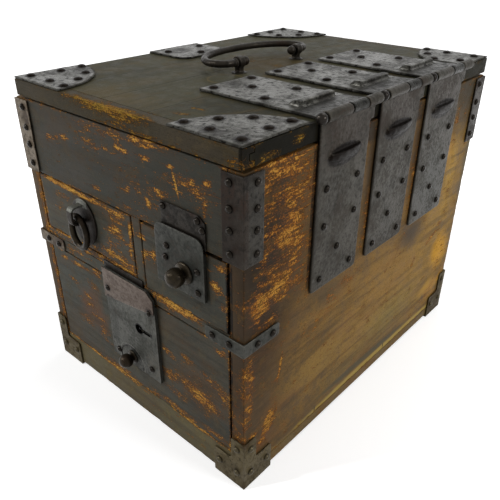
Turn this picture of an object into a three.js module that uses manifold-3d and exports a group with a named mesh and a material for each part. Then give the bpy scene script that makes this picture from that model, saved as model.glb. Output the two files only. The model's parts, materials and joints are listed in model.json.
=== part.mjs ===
// A ship chest of lacquered boards bound in forged iron, in millimetres, +Z up.
// Its drawers face -Y. The lid is hinged along +X and carries a bail. Below the lid lie a till,
// two small drawers side by side and one deep locked drawer.
// The origin is the middle of the overall box, on the floor.

import * as THREE from "three";
import { mergeVertices } from "three/addons/utils/BufferGeometryUtils.js";
import Module from "manifold-3d";

const wasm = await Module();
wasm.setup();

// Boards of the case
const caseWidth = 357;
const caseDepth = 480;
const sideBoard = 18;
const frontBoard = 16;
const backBoard = 16;
const bottomBoard = 15;
const tillFloor = 10;
const dividerBoard = 14;
const dividerPlace = 26.5;
const bedBoard = 9.5;
const runnerWidth = 21;

// Heights, stacked from the floor up
const footPlate = 3;
const baseRail = 42;
const lowerBay = 145;
const shelfBoard = 16.5;
const upperBay = 83.5;
const tillHeight = 89;
const lidGap = 2.5;
const lidBoard = 18.5;

// Lid boards: the ends of the planks are held in grooved cleats
const lid = {
  setback: 6.5,
  hingeGap: 0.5,
  overhang: 2,
  cleat: 16,
  tongue: 6,
  tongueThickness: 6,
  fit: 0.3,
};

// Drawers: each runs on its seat, and its front stands a little clear of the bay
const drawer = {
  behind: 24,
  wall: 9,
  floor: 6,
  backWall: 9,
  frontRaise: 1,
  runGap: 0.3,
  sideGap: 1.8,
  trayGap: 1,
  trayDrop: 8,
};
const topGap = { lower: 1.5, left: 1.5, right: 3 };
const rightDrawerGap = 3;

// Iron: every plate lies on a thin bedding
const bedding = 0.2;
const sheet = 2.4;
const nail = { radius: 3.6, height: 3.2 };
const largeNail = { radius: 5.6, height: 3 };
const nailRootShare = 0.5;

const cornerIron = { flange: 27, belowRim: 1.3, nailInset: 17, nailShares: [0.125, 0.388, 0.627, 0.9] };
const waistStrap = { arm: 54, end: 4, nailNear: 20, nailFar: 43 };
const footIron = {
  arm: 47,
  armHeight: 38,
  rise: 70,
  armWidth: 20.5,
  fillet: 4,
  soleCut: 26,
  nailHigh: 58,
  nailLow: 22,
  nailNear: 11,
  nailFar: 38,
};

// Strap hinges: three straps in a row, the last a little wider, share the side between its two ends
const hinge = {
  rowStart: 100,
  rowEnd: 78,
  strapGap: 20,
  strap: 3.2,
  sideReach: 166,
  lidReach: 156,
  endRadius: 6,
  barrelRadius: 6,
  bore: 3,
  pinRadius: 2.6,
  barrelOut: 0.3,
  axisUp: 4.6,
  ballRadius: 5.8,
  ballSeat: 5.2,
  shoulder: 7,
  headDrop: 17,
  headReach: 23,
  knuckleGap: 0.35,
  leafGap: 0.4,
  tailRadius: 4.2,
  tail: 1.2,
};
const strapWidthShares = [0.32825, 0.32825, 0.3435];
const knuckleSeamShares = [0.42, 0.72];
const sideNailShares = [
  [0.705, 0.315],
  [0.705, -0.315],
  [0.458, 0.32],
  [0.458, -0.32],
  [0.259, 0],
  [0.084, 0.33],
  [0.084, -0.33],
];
const lidNailShares = [
  [0.07, 0.35],
  [0.07, -0.35],
  [0.245, 0],
  [0.5, 0.3],
  [0.5, -0.3],
];
const ridge = { fromAxis: 46, width: 15, height: 6, lengthShare: 0.68, crestShare: 0.62, brinkShare: 0.8 };
const boss = { fromAxis: 42.6, width: 9.5, height: 6.4, lengthShare: 0.66, trimShare: 0.35 };

// Quarter-round plates on the corners of the lid
const lidPlate = { radius: 90, sheet: 2.6, strapGap: 1 };
const lidPlateNailShares = [
  [0.14, 0.16],
  [0.56, 0.17],
  [0.9, 0.15],
  [0.17, 0.57],
  [0.15, 0.9],
  [0.5, 0.72],
  [0.73, 0.46],
];

// Bail on the lid: a bar that turns in two eyes and ends in balls
const bail = {
  offsetX: -8,
  offsetY: 8,
  height: 12,
  span: 109,
  bar: 4.5,
  reach: 62.5,
  spread: 82.5,
  pin: 3,
  ball: 6,
  ballSeat: 5.2,
  collar: 5.4,
  collarWidth: 3,
  gap: 0.3,
};
const eye = { radius: 7.2, bore: 3.5, width: 9, neck: 8, washer: 9.5, washerSheet: 1.4 };
const bailCurveShares = [
  [0, 0.78],
  [0.04, 0.88],
  [0.145, 0.965],
  [0.29, 1],
  [0.48, 0.965],
  [0.67, 0.855],
  [0.83, 0.68],
  [0.935, 0.46],
  [0.985, 0.23],
];

// Hasp on the left edge of the lid
const hasp = {
  width: 88,
  reach: 68,
  sheet: 2.6,
  lip: 14,
  cornerCut: 10,
  axisDown: 11,
  barrel: 4.5,
  bore: 2.3,
  pin: 1.9,
  pinHead: 3.2,
  pinHeadWidth: 1.8,
  barrelLength: 62,
  tongueWidth: 40,
  tongueTip: 30,
  tongueLength: 70,
  tongueSheet: 2.6,
  knob: 4,
  knobNeck: 2.6,
  knobUp: 14,
};
const haspKnuckleShares = [0.3, 0.7];
const haspNailShares = [
  [0.3, 0.33],
  [0.3, -0.33],
  [0.78, 0],
];

// Gap between a strike plate on the case and the drawer's plate that laps over it
const lapGap = 0.4;

// Plates of the right drawer
const rightPlate = { left: 62, width: 70, height: 69, lap: 12, corner: 12, thin: 2.4 };
const rightPlateNailShares = [
  [0.26, 0.67],
  [0.22, 0.47],
  [0.87, 0.48],
  [0.87, 0.13],
];
const rightKnobShares = [0.6, 0.352];
const upperStrike = { left: 71, width: 62, height: 35, sheet: 1.8, cutAcross: 8, cutDown: 6 };
const upperStrikeNailShares = [
  [0.07, 0.85],
  [0.84, 0.84],
  [0.94, 0.62],
];
const knob = { ball: 10.4, collar: 12.6, collarWidth: 3, neck: 5.5, stand: 11.4 };
const smallKnob = { ball: 8.9, collar: 9, collarWidth: 2.6, neck: 4.4, stand: 10.4 };
const shank = { radius: 3, hole: 3.4, washer: 6.5, washerWidth: 1.6 };

// Lock of the lower drawer
const lockPlate = { left: -41, width: 91, height: 127.5, belowShelf: 0.4, thin: 2.4 };
const lockPlateCut = { across: 11, down: 9 };
const lockNailShares = [
  [0.145, 0.085],
  [0.84, 0.115],
];
const lockCover = { sheet: 1.6, leftRise: 86.5, rightRise: 100.5, rivet: 3.4, rivetHeight: 2.6 };
const coverRivetShares = [
  [0.09, 0.795],
  [0.91, 0.784],
];
const keyhole = { x: 18, drop: 62, radius: 5.8, slot: 3.2, reach: 19.5 };
const knobRing = { radius: 22, width: 2.2, height: 0.7, aside: 2.6, below: 4.4 };
const lowerKnobUp = 14;
const lowerKnobShare = 0.446;
const lowerStrike = { left: -42, width: 72, below: 14.5, above: 7.5, sheet: 1.8 };
const lockCase = { width: 74, height: 62, depth: 15, wall: 2.2, below: 3 };
const lockBolt = { width: 30, thickness: 7, height: 52, rest: 2.5, throw: 9, notch: 8, gap: 0.5 };

// Ring pull of the left drawer
const ringSeat = { width: 47, height: 59, sheet: 2.4 };
const ringArch = { width: 10, bar: 3.2, out: 14.1, opening: 18, bend: 5, outerBend: 8 };
const ring = { halfWidth: 14.8, halfHeight: 19.8, bar: 4.2, stand: 7.5, drop: 26.5, dip: 2.1, gap: 0.4 };

// Facets and overruns
const facets = { nail: 8, nailRings: 2, barrel: 16, ball: 14, knob: 20, bend: 4, arc: 14 };
const bailFacets = { bar: 6, steps: 44 };
const ringFacets = { bar: 10, turn: 28 };
const overrun = 2;
const weld = 1e-4;

// Levels and planes worked out from the sizes above
const halfWidth = caseWidth / 2;
const halfDepth = caseDepth / 2;
const innerHalf = halfWidth - sideBoard;
const front = -halfDepth;
const frontInside = front + frontBoard;
const backInside = halfDepth - backBoard;
const caseLow = footPlate;
const bottomTop = caseLow + bottomBoard;
const railTop = caseLow + baseRail;
const shelfLow = railTop + lowerBay;
const shelfTop = shelfLow + shelfBoard;
const bedTop = shelfTop + bedBoard;
const tillLow = shelfTop + upperBay;
const caseTop = tillLow + tillHeight;
const lidLow = caseTop + lidGap;
const lidTop = lidLow + lidBoard;
const lidLeft = -halfWidth + lid.setback;
const lidRight = halfWidth - lid.hingeGap;
const lidMiddle = (lidLeft + lidRight) / 2;
const lidHalfDepth = halfDepth + lid.overhang;
const dividerLeft = dividerPlace - dividerBoard / 2;
const dividerRight = dividerPlace + dividerBoard / 2;
const hingeX = halfWidth + hinge.barrelOut + hinge.barrelRadius;
const hingeZ = lidTop + hinge.axisUp;
const bailX = lidMiddle + bail.offsetX;
const bailY = bail.offsetY;
const bailZ = lidTop + bail.height;
const rightPlateLow = tillLow + rightPlate.lap - rightPlate.height;
const lockPlateTop = shelfTop - lockPlate.belowShelf;
const lockPlateLow = lockPlateTop - lockPlate.height;
const keyholeZ = lockPlateTop - keyhole.drop;
const haspX = lidLeft - bedding - hasp.sheet / 2 - hasp.barrel;
const haspZ = lidTop - hasp.axisDown;

// Materials
function finish(color, roughness, metalness) {
  return new THREE.MeshStandardMaterial({ color, roughness, metalness });
}
const lacquer = finish(0x3b3a34, 0.5, 0);
const goldenWood = finish(0x6b4a22, 0.6, 0);
const bareWood = finish(0xa98a5c, 0.8, 0);
const darkIron = finish(0x38332e, 0.45, 0.85);
const paleIron = finish(0x73726e, 0.5, 0.85);

// Solids
function solidFrom(geometry) {
  const bare = geometry.clone();
  bare.deleteAttribute("normal");
  bare.deleteAttribute("uv");
  const merged = mergeVertices(bare, weld);
  const vertProperties = merged.attributes.position.array;
  const triVerts = Uint32Array.from(merged.index.array);
  return new wasm.Manifold(new wasm.Mesh({ numProp: 3, vertProperties, triVerts }));
}

function geometryFrom(solid) {
  const mesh = solid.getMesh();
  const geometry = new THREE.BufferGeometry();
  geometry.setAttribute("position", new THREE.BufferAttribute(mesh.vertProperties, mesh.numProp));
  geometry.setIndex(new THREE.BufferAttribute(mesh.triVerts, 1));
  return geometry;
}

// Geometries joined into one.
function joined(...pieces) {
  let whole = solidFrom(pieces[0]);
  for (const piece of pieces.slice(1)) {
    whole = whole.add(solidFrom(piece));
  }
  return geometryFrom(whole);
}

// A geometry with others cut out of it.
function cut(body, ...tools) {
  let left = solidFrom(body);
  for (const tool of tools) {
    left = left.subtract(solidFrom(tool));
  }
  return geometryFrom(left);
}

// A block between two places along each axis, with its corners exactly there.
function block(...sides) {
  const geometry = new THREE.BoxGeometry();
  const corners = geometry.attributes.position;
  for (let i = 0; i < corners.count; i++) {
    const corner = [corners.getX(i), corners.getY(i), corners.getZ(i)];
    const place = sides.map(([low, high], axis) => (corner[axis] > 0 ? high : low));
    corners.setXYZ(i, ...place);
  }
  return geometry;
}

// A closed outline from corners [u, v, radius], where a missing radius leaves the corner sharp.
function outline(corners) {
  const shape = new THREE.Shape();
  corners.forEach(([u, v, radius = 0], i) => {
    const here = new THREE.Vector2(u, v);
    const before = corners.at(i - 1);
    const after = corners[(i + 1) % corners.length];
    const towards = ([a, b]) => new THREE.Vector2(a, b).sub(here).setLength(radius).add(here);
    const enter = towards(before);
    const leave = towards(after);
    if (i === 0) {
      shape.moveTo(enter.x, enter.y);
    } else {
      shape.lineTo(enter.x, enter.y);
    }
    if (radius > 0) {
      shape.quadraticCurveTo(u, v, leave.x, leave.y);
    }
  });
  shape.closePath();
  return shape;
}

// The faces of the chest, each with its two directions and the one that points out of it
const across = new THREE.Vector3(1, 0, 0);
const inward = new THREE.Vector3(0, 1, 0);
const upward = new THREE.Vector3(0, 0, 1);
const faces = {
  front: [across, upward],
  right: [inward, upward],
  left: [inward.clone().negate(), upward],
  top: [across, inward],
};

// Turns what lies on the XY plane onto a face, at a distance out along its normal.
function onFace(geometry, face, distance) {
  const [u, v] = faces[face];
  const n = new THREE.Vector3().crossVectors(u, v);
  const turn = new THREE.Matrix4().makeBasis(u, v, n).setPosition(n.clone().multiplyScalar(distance));
  return geometry.applyMatrix4(turn);
}

function plateOn(face, shape, thickness, distance) {
  const options = { depth: thickness, bevelEnabled: false, curveSegments: facets.bend };
  return onFace(new THREE.ExtrudeGeometry(shape, options), face, distance);
}

// A nail's domed head with a short root that goes into its plate.
function nailOn(face, [u, v], distance, size = nail) {
  const root = sheet * nailRootShare;
  const profile = [new THREE.Vector2(0, -root), new THREE.Vector2(size.radius, -root)];
  for (let i = 0; i <= facets.nailRings; i++) {
    const turn = (Math.PI / 2) * (i / facets.nailRings);
    profile.push(new THREE.Vector2(size.radius * Math.cos(turn), size.height * Math.sin(turn)));
  }
  profile.at(-1).x = 0;
  const head = new THREE.LatheGeometry(profile, facets.nail);
  head.rotateX(Math.PI / 2).translate(u, v, 0);
  return onFace(head, face, distance);
}

// A round bar along Y between two places, centred on x and z.
function barY(x, z, radius, y0, y1, segments = facets.barrel) {
  const bar = new THREE.CylinderGeometry(radius, radius, Math.abs(y1 - y0), segments);
  return bar.translate(x, (y0 + y1) / 2, z);
}

function ballAt(x, y, z, radius, segments = facets.ball) {
  return new THREE.SphereGeometry(radius, segments, segments / 2).translate(x, y, z);
}

// A turned piece on a face: the profile is [radius, distance] from the face, axis to axis.
function turnedOn(face, [u, v], distance, profile, segments = facets.knob) {
  const points = profile.map(([radius, height]) => new THREE.Vector2(radius, height));
  const lathe = new THREE.LatheGeometry(points, segments);
  return onFace(lathe.rotateX(Math.PI / 2).translate(u, v, 0), face, distance);
}

function named(name, geometry, material) {
  const mesh = new THREE.Mesh(geometry, material);
  mesh.name = name;
  return mesh;
}

function grouped(...children) {
  return new THREE.Group().add(...children);
}

// Boards of the case

function sidePanel(name, mirror, material) {
  const board = block([innerHalf, halfWidth], [front, halfDepth], [bottomTop, caseTop]);
  const mesh = named(name, board, material);
  mesh.scale.x = mirror;
  return mesh;
}

function backPanel() {
  return block([-innerHalf, innerHalf], [backInside, halfDepth], [bottomTop, caseTop]);
}

// The bottom board carries the two runners of the lower drawer.
function bottomPanel() {
  const board = block([-halfWidth, halfWidth], [frontInside, halfDepth], [caseLow, bottomTop]);
  const runners = [-innerHalf, innerHalf - runnerWidth].map((left) =>
    block([left, left + runnerWidth], [frontInside, backInside], [bottomTop - overrun, railTop]),
  );
  return joined(board, ...runners);
}

// The base rail is shouldered over the bottom ends of the side panels.
function baseRailBoard() {
  const shape = outline([
    [-halfWidth, caseLow],
    [halfWidth, caseLow],
    [halfWidth, bottomTop],
    [innerHalf, bottomTop],
    [innerHalf, railTop],
    [-innerHalf, railTop],
    [-innerHalf, bottomTop],
    [-halfWidth, bottomTop],
  ]);
  return plateOn("front", shape, frontBoard, -frontInside);
}

function drawerShelf() {
  const board = block([-innerHalf, innerHalf], [front, backInside], [shelfLow, shelfTop]);
  const width = lockBolt.width / 2 + lockBolt.gap;
  const mortise = block(
    [keyhole.x - width, keyhole.x + width],
    [boltFront - lockBolt.gap, boltFront + lockBolt.thickness + lockBolt.gap],
    [shelfLow - overrun, shelfLow + lockBolt.throw],
  );
  return cut(board, mortise);
}

function caseBoards() {
  const inside = [-innerHalf, innerHalf];
  const depth = [front, backInside];
  return grouped(
    sidePanel("left_side_panel", -1, goldenWood),
    sidePanel("right_side_panel", 1, goldenWood),
    named("back_panel", backPanel(), lacquer),
    named("bottom_board", bottomPanel(), goldenWood),
    named("base_rail", baseRailBoard(), lacquer),
    named("upper_front_board", block(inside, [front, frontInside], [tillLow, caseTop]), lacquer),
    named("till_floor", block(inside, [frontInside, backInside], [tillLow, tillLow + tillFloor]), bareWood),
    named("drawer_shelf", drawerShelf(), lacquer),
    named("left_drawer_bed", block([-innerHalf, dividerLeft], depth, [shelfTop, bedTop]), lacquer),
    named("drawer_divider", block([dividerLeft, dividerRight], depth, [shelfTop, tillLow]), lacquer),
  );
}

// Irons of the case. Each is made for the front right corner, with its outer edge at the origin,
// and the others are its mirror images.

// A plate of one outline on the front and on the side, joined along the corner.
function cornerPlates(corners, nailPlaces) {
  const shape = outline(corners);
  const mirrored = outline(corners.map(([u, v, radius]) => [-u, v, radius]).reverse());
  const pieces = [plateOn("front", mirrored, sheet, -sheet), plateOn("right", shape, sheet, -sheet)];
  for (const [u, v] of nailPlaces) {
    pieces.push(nailOn("front", [-u, v], 0));
    pieces.push(nailOn("right", [u, v], 0));
  }
  return joined(...pieces);
}

function cornerIronPiece() {
  const low = tillLow;
  const high = caseTop - cornerIron.belowRim;
  const { flange, nailInset, nailShares } = cornerIron;
  const nails = nailShares.map((share) => [nailInset, low + (high - low) * share]);
  const corners = [
    [0, low],
    [flange, low],
    [flange, high],
    [0, high],
  ];
  return cornerPlates(corners, nails);
}

function waistStrapPiece() {
  const { arm, end, nailNear, nailFar } = waistStrap;
  const middle = (shelfLow + shelfTop) / 2;
  const corners = [
    [0, shelfLow],
    [arm, shelfLow, end],
    [arm, shelfTop, end],
    [0, shelfTop],
  ];
  return cornerPlates(corners, [
    [nailNear, middle],
    [nailFar, middle],
  ]);
}

// The foot iron has an upright and a level arm on each face, and a sole under the corner.
function footIronPiece() {
  const { arm, armHeight, rise, armWidth, fillet, soleCut } = footIron;
  const corners = [
    [0, 0],
    [arm, 0],
    [arm, armHeight, fillet],
    [armWidth, armHeight, fillet],
    [armWidth, rise, fillet],
    [0, rise],
  ];
  const plates = cornerPlates(corners, [
    [footIron.nailNear, footIron.nailHigh],
    [footIron.nailNear, footIron.nailLow],
    [footIron.nailFar, footIron.nailLow],
  ]);
  const soleShape = outline([
    [0, 0],
    [0, arm],
    [soleCut - arm, arm],
    [-arm, arm - soleCut],
    [-arm, 0],
  ]);
  return joined(plates, plateOn("top", soleShape, footPlate - bedding, 0));
}

function caseIrons() {
  const corners = [
    ["front_right", 1, 1],
    ["front_left", -1, 1],
    ["back_right", 1, -1],
    ["back_left", -1, -1],
  ];
  const irons = [
    ["corner_iron", cornerIronPiece()],
    ["foot_iron", footIronPiece()],
  ];
  const strap = waistStrapPiece();
  return corners.map(([place, mirrorX, mirrorY]) => {
    const pieces = irons.map(([name, geometry]) => named(`${name}_${place}`, geometry, darkIron));
    if (mirrorY > 0) {
      pieces.push(named(`waist_strap_${place}`, strap, darkIron));
    }
    const corner = grouped(...pieces);
    corner.position.set(halfWidth + sheet + bedding, front - sheet - bedding, 0);
    const mirror = grouped(corner);
    mirror.scale.set(mirrorX, mirrorY, 1);
    return mirror;
  });
}

// Strap hinges

const strapRoom = caseDepth - hinge.rowStart - hinge.rowEnd - 2 * hinge.strapGap;
const strapPlaces = [];
for (const [i, place] of ["front", "middle", "back"].entries()) {
  const start = i === 0 ? front + hinge.rowStart : strapPlaces[i - 1].end + hinge.strapGap;
  const end = start + strapRoom * strapWidthShares[i];
  const barrelEnd = end + hinge.shoulder;
  const seams = knuckleSeamShares.map((share) => start + (barrelEnd - start) * share);
  strapPlaces.push({ place, start, end, barrelEnd, seams });
}

// The strap on the side of the case holds the two outer knuckles.
function sideStrap({ start, end, barrelEnd, seams }) {
  const low = caseTop - hinge.sideReach;
  const headLow = lidTop - hinge.headDrop;
  const notchLow = hingeZ - hinge.barrelRadius - hinge.leafGap;
  const gap = hinge.knuckleGap / 2;
  const shape = outline([
    [start, low, hinge.endRadius],
    [end, low, hinge.endRadius],
    [end, headLow],
    [barrelEnd, headLow],
    [barrelEnd, hingeZ],
    [seams[1] + gap, hingeZ],
    [seams[1] + gap, notchLow],
    [seams[0] - gap, notchLow],
    [seams[0] - gap, hingeZ],
    [start, hingeZ],
  ]);
  const face = halfWidth + bedding;
  const surface = face + hinge.strap;
  const width = end - start;
  const middle = (start + end) / 2;
  const pieces = [plateOn("right", shape, hinge.strap, face)];
  pieces.push(barY(hingeX, hingeZ, hinge.barrelRadius, start, seams[0] - gap));
  pieces.push(barY(hingeX, hingeZ, hinge.barrelRadius, seams[1] + gap, barrelEnd));
  for (const [up, aside] of sideNailShares) {
    pieces.push(nailOn("right", [middle + width * aside, low + hinge.sideReach * up], surface));
  }
  pieces.push(strapBoss(surface, middle, hingeZ - boss.fromAxis, width * boss.lengthShare));
  const bore = barY(hingeX, hingeZ, hinge.bore, start - overrun, barrelEnd + overrun);
  return cut(joined(...pieces), bore);
}

// A raised boss, pointed at both ends, that stands proud on its upper edge.
function strapBoss(surface, y, z, length) {
  const { width, height, trimShare } = boss;
  const swell = new THREE.SphereGeometry(1, facets.knob, facets.ball / 2);
  swell.scale(height, length / 2, width).translate(surface, y, z);
  const upper = z + width * trimShare;
  const above = block(
    [surface - height - overrun, surface + height + overrun],
    [y - length, y + length],
    [upper, upper + width + overrun],
  );
  const behind = block(
    [surface - height - overrun, surface - hinge.strap / 2],
    [y - length, y + length],
    [z - width - overrun, z + width + overrun],
  );
  return cut(swell, above, behind);
}

// The strap on the lid holds the middle knuckle.
function lidStrap({ start, end, seams }) {
  const edge = lidRight;
  const tip = edge - hinge.lidReach;
  const gap = hinge.knuckleGap / 2;
  const head = edge - hinge.headReach;
  const shape = outline([
    [tip, start, hinge.endRadius / 2],
    [edge, start],
    [edge, seams[0] + gap],
    [hingeX, seams[0] + gap],
    [hingeX, seams[1] - gap],
    [edge, seams[1] - gap],
    [edge, end + hinge.shoulder],
    [head, end],
    [tip, end, hinge.endRadius / 2],
  ]);
  const face = lidTop + bedding;
  const surface = face + hinge.strap;
  const middle = (start + end) / 2;
  const width = end - start;
  const pieces = [plateOn("top", shape, hinge.strap, face)];
  pieces.push(barY(hingeX, hingeZ, hinge.barrelRadius, seams[0] + gap, seams[1] - gap));
  for (const [along, aside] of lidNailShares) {
    pieces.push(nailOn("top", [tip + hinge.lidReach * along, middle + width * aside], surface, largeNail));
  }
  pieces.push(strapRidge(surface, hingeX - ridge.fromAxis, middle, width * ridge.lengthShare));
  const bore = barY(hingeX, hingeZ, hinge.bore, seams[0] - overrun, seams[1] + overrun);
  return cut(joined(...pieces), bore);
}

// A ridge across the strap that swells from the lid side and drops steeply towards the barrel.
function strapRidge(surface, x, y, length) {
  const { width, height, crestShare, brinkShare } = ridge;
  const root = hinge.strap / 2;
  const profile = new THREE.Shape();
  profile.moveTo(-width / 2, -root);
  profile.lineTo(width / 2, -root);
  profile.lineTo(width / 2, height * brinkShare);
  profile.quadraticCurveTo(width / 2, height, width * (crestShare - 1 / 2), height);
  profile.quadraticCurveTo(-width / 4, height, -width / 2, 0);
  profile.closePath();
  const options = { depth: length, bevelEnabled: false, curveSegments: facets.bend };
  const bar = new THREE.ExtrudeGeometry(profile, options);
  return bar.rotateX(Math.PI / 2).translate(x, y + length / 2, surface);
}

// The pin has a ball at its front end and is hammered over at the back.
function hingePin({ start, barrelEnd }) {
  const ballY = start - hinge.ballSeat;
  const tailY = barrelEnd + hinge.knuckleGap;
  return joined(
    barY(hingeX, hingeZ, hinge.pinRadius, ballY, tailY + hinge.tail / 2),
    ballAt(hingeX, ballY, hingeZ, hinge.ballRadius),
    barY(hingeX, hingeZ, hinge.tailRadius, tailY, tailY + hinge.tail),
  );
}

function caseHinges() {
  return strapPlaces.flatMap((strap) => [
    named(`side_hinge_strap_${strap.place}`, sideStrap(strap), darkIron),
    named(`hinge_pin_${strap.place}`, hingePin(strap), darkIron),
  ]);
}

// Lid

function lidPanel() {
  const end = lidHalfDepth - lid.cleat;
  const tip = end + lid.tongue;
  const middle = (lidLow + lidTop) / 2;
  const half = lid.tongueThickness / 2;
  const panel = block([lidLeft, lidRight], [-end, end], [lidLow, lidTop]);
  const tongue = block([lidLeft, lidRight], [-tip, tip], [middle - half, middle + half]);
  return joined(panel, tongue);
}

// A cleat with a groove over the ends of the planks, made for the back of the lid.
function lidCleat() {
  const end = lidHalfDepth - lid.cleat;
  const middle = (lidLow + lidTop) / 2;
  const half = lid.tongueThickness / 2 + lid.fit;
  const bar = block([lidLeft, lidRight], [end, lidHalfDepth], [lidLow, lidTop]);
  const groove = block(
    [lidLeft - overrun, lidRight + overrun],
    [end - overrun, end + lid.tongue + lid.fit],
    [middle - half, middle + half],
  );
  return cut(bar, groove);
}

// A quarter-round plate for the back right corner of the lid, with that corner at the origin.
// Its reach along the side edge is trimmed where a hinge strap lies.
function lidCornerPlate(sideReach) {
  const { radius } = lidPlate;
  const shape = new THREE.Shape();
  shape.moveTo(0, 0);
  shape.lineTo(-radius, 0);
  shape.absarc(0, 0, radius, Math.PI, (3 * Math.PI) / 2);
  shape.closePath();
  const options = { depth: lidPlate.sheet, bevelEnabled: false, curveSegments: facets.arc };
  const disc = new THREE.ExtrudeGeometry(shape, options);
  const beyond = [-sideReach - radius, -sideReach];
  const trim = block([-radius - overrun, overrun], beyond, [-overrun, lidPlate.sheet + overrun]);
  const heads = lidPlateNailShares
    .map(([u, v]) => [-radius * u, -radius * v])
    .filter(([, v]) => v - largeNail.radius > -sideReach)
    .map((place) => nailOn("top", place, lidPlate.sheet, largeNail));
  return joined(cut(disc, trim), ...heads);
}

function lidPlates() {
  const corners = [
    ["back_right", 1, 1],
    ["back_left", -1, 1],
    ["front_right", 1, -1],
    ["front_left", -1, -1],
  ];
  const strapReach = lidHalfDepth - strapPlaces.at(-1).barrelEnd - lidPlate.strapGap;
  return corners.map(([place, mirrorX, mirrorY]) => {
    const reach = place === "back_right" ? Math.min(strapReach, lidPlate.radius) : lidPlate.radius;
    const plate = named(`lid_corner_plate_${place}`, lidCornerPlate(reach), paleIron);
    plate.position.set((lidRight - lidLeft) / 2, lidHalfDepth, 0);
    const corner = grouped(plate);
    corner.scale.set(mirrorX, mirrorY, 1);
    corner.position.set(lidMiddle, 0, lidTop + bedding);
    return corner;
  });
}

// The eye that carries one end of the bail.
function bailEye(side) {
  const y = bailY + side * (bail.span / 2);
  const barrel = barY(bailX, bailZ, eye.radius, y - eye.width / 2, y + eye.width / 2);
  const neck = block(
    [bailX - eye.neck / 2, bailX + eye.neck / 2],
    [y - eye.neck / 2, y + eye.neck / 2],
    [lidTop + bedding, bailZ - eye.bore - eye.washerSheet],
  );
  const washer = turnedOn("top", [bailX, y], lidTop + bedding, [
    [0, 0],
    [eye.washer, 0],
    [eye.washer, eye.washerSheet / 2],
    [eye.neck / 2, eye.washerSheet],
    [0, eye.washerSheet],
  ]);
  const bore = barY(bailX, bailZ, eye.bore, y - eye.width, y + eye.width);
  return cut(joined(barrel, neck, washer), bore);
}

// The bail lies folded towards the left of the lid. Its ends turn in along Y through the eyes.
function bailHandle() {
  const outside = bail.span / 2 + eye.width / 2 + bail.gap;
  const inside = bail.span / 2 - eye.width / 2;
  const halfCurve = [[0, outside + bail.collarWidth / 2]];
  for (const [reach, spread] of bailCurveShares) {
    halfCurve.push([bail.reach * reach, bail.spread * spread]);
  }
  const points = [...halfCurve, [bail.reach, 0], ...halfCurve.map(([u, v]) => [u, -v]).reverse()];
  const path = new THREE.CatmullRomCurve3(
    points.map(([u, v]) => new THREE.Vector3(bailX - u, bailY + v, bailZ)),
  );
  const section = new THREE.Shape().absarc(0, 0, bail.bar, 0, 2 * Math.PI);
  const bow = new THREE.ExtrudeGeometry(section, {
    steps: bailFacets.steps,
    extrudePath: path,
    curveSegments: bailFacets.bar,
  });
  const pieces = [bow];
  for (const side of [-1, 1]) {
    const ballY = bailY + side * (inside - bail.ballSeat);
    const collarNear = bailY + side * outside;
    const collarFar = bailY + side * (outside + bail.collarWidth);
    pieces.push(barY(bailX, bailZ, bail.pin, ballY, collarFar));
    pieces.push(barY(bailX, bailZ, bail.collar, collarNear, collarFar));
    pieces.push(ballAt(bailX, ballY, bailZ, bail.ball));
  }
  return joined(...pieces);
}

// Hasp

const haspKnuckles = haspKnuckleShares.map((share) => hasp.barrelLength * (share - 1 / 2));

// The strap laps over the left edge of the lid and holds the two outer knuckles.
function haspStrap() {
  const { width, reach, lip, cornerCut } = hasp;
  const edge = lidLeft - bedding - hasp.sheet;
  const shape = outline([
    [edge, -width / 2],
    [lidLeft + reach - cornerCut, -width / 2],
    [lidLeft + reach, cornerCut - width / 2],
    [lidLeft + reach, width / 2 - cornerCut],
    [lidLeft + reach - cornerCut, width / 2],
    [edge, width / 2],
  ]);
  const surface = lidTop + bedding + hasp.sheet;
  const gap = hinge.knuckleGap / 2;
  const pieces = [plateOn("top", shape, hasp.sheet, lidTop + bedding)];
  pieces.push(block([edge, edge + hasp.sheet], [-width / 2, width / 2], [surface - lip, surface]));
  for (const side of [-1, 1]) {
    const near = side > 0 ? haspKnuckles[1] + gap : haspKnuckles[0] - gap;
    pieces.push(barY(haspX, haspZ, hasp.barrel, near, side * (hasp.barrelLength / 2)));
  }
  for (const [along, aside] of haspNailShares) {
    pieces.push(nailOn("top", [lidLeft + reach * along, width * aside], surface, largeNail));
  }
  const slot = block(
    [haspX - hasp.barrel - overrun, lidLeft],
    [haspKnuckles[0] - gap, haspKnuckles[1] + gap],
    [haspZ - hasp.barrel - overrun, haspZ + hasp.barrel + hinge.leafGap],
  );
  const bore = barY(haspX, haspZ, hasp.bore, -hasp.barrelLength, hasp.barrelLength);
  return cut(joined(...pieces), slot, bore);
}

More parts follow.
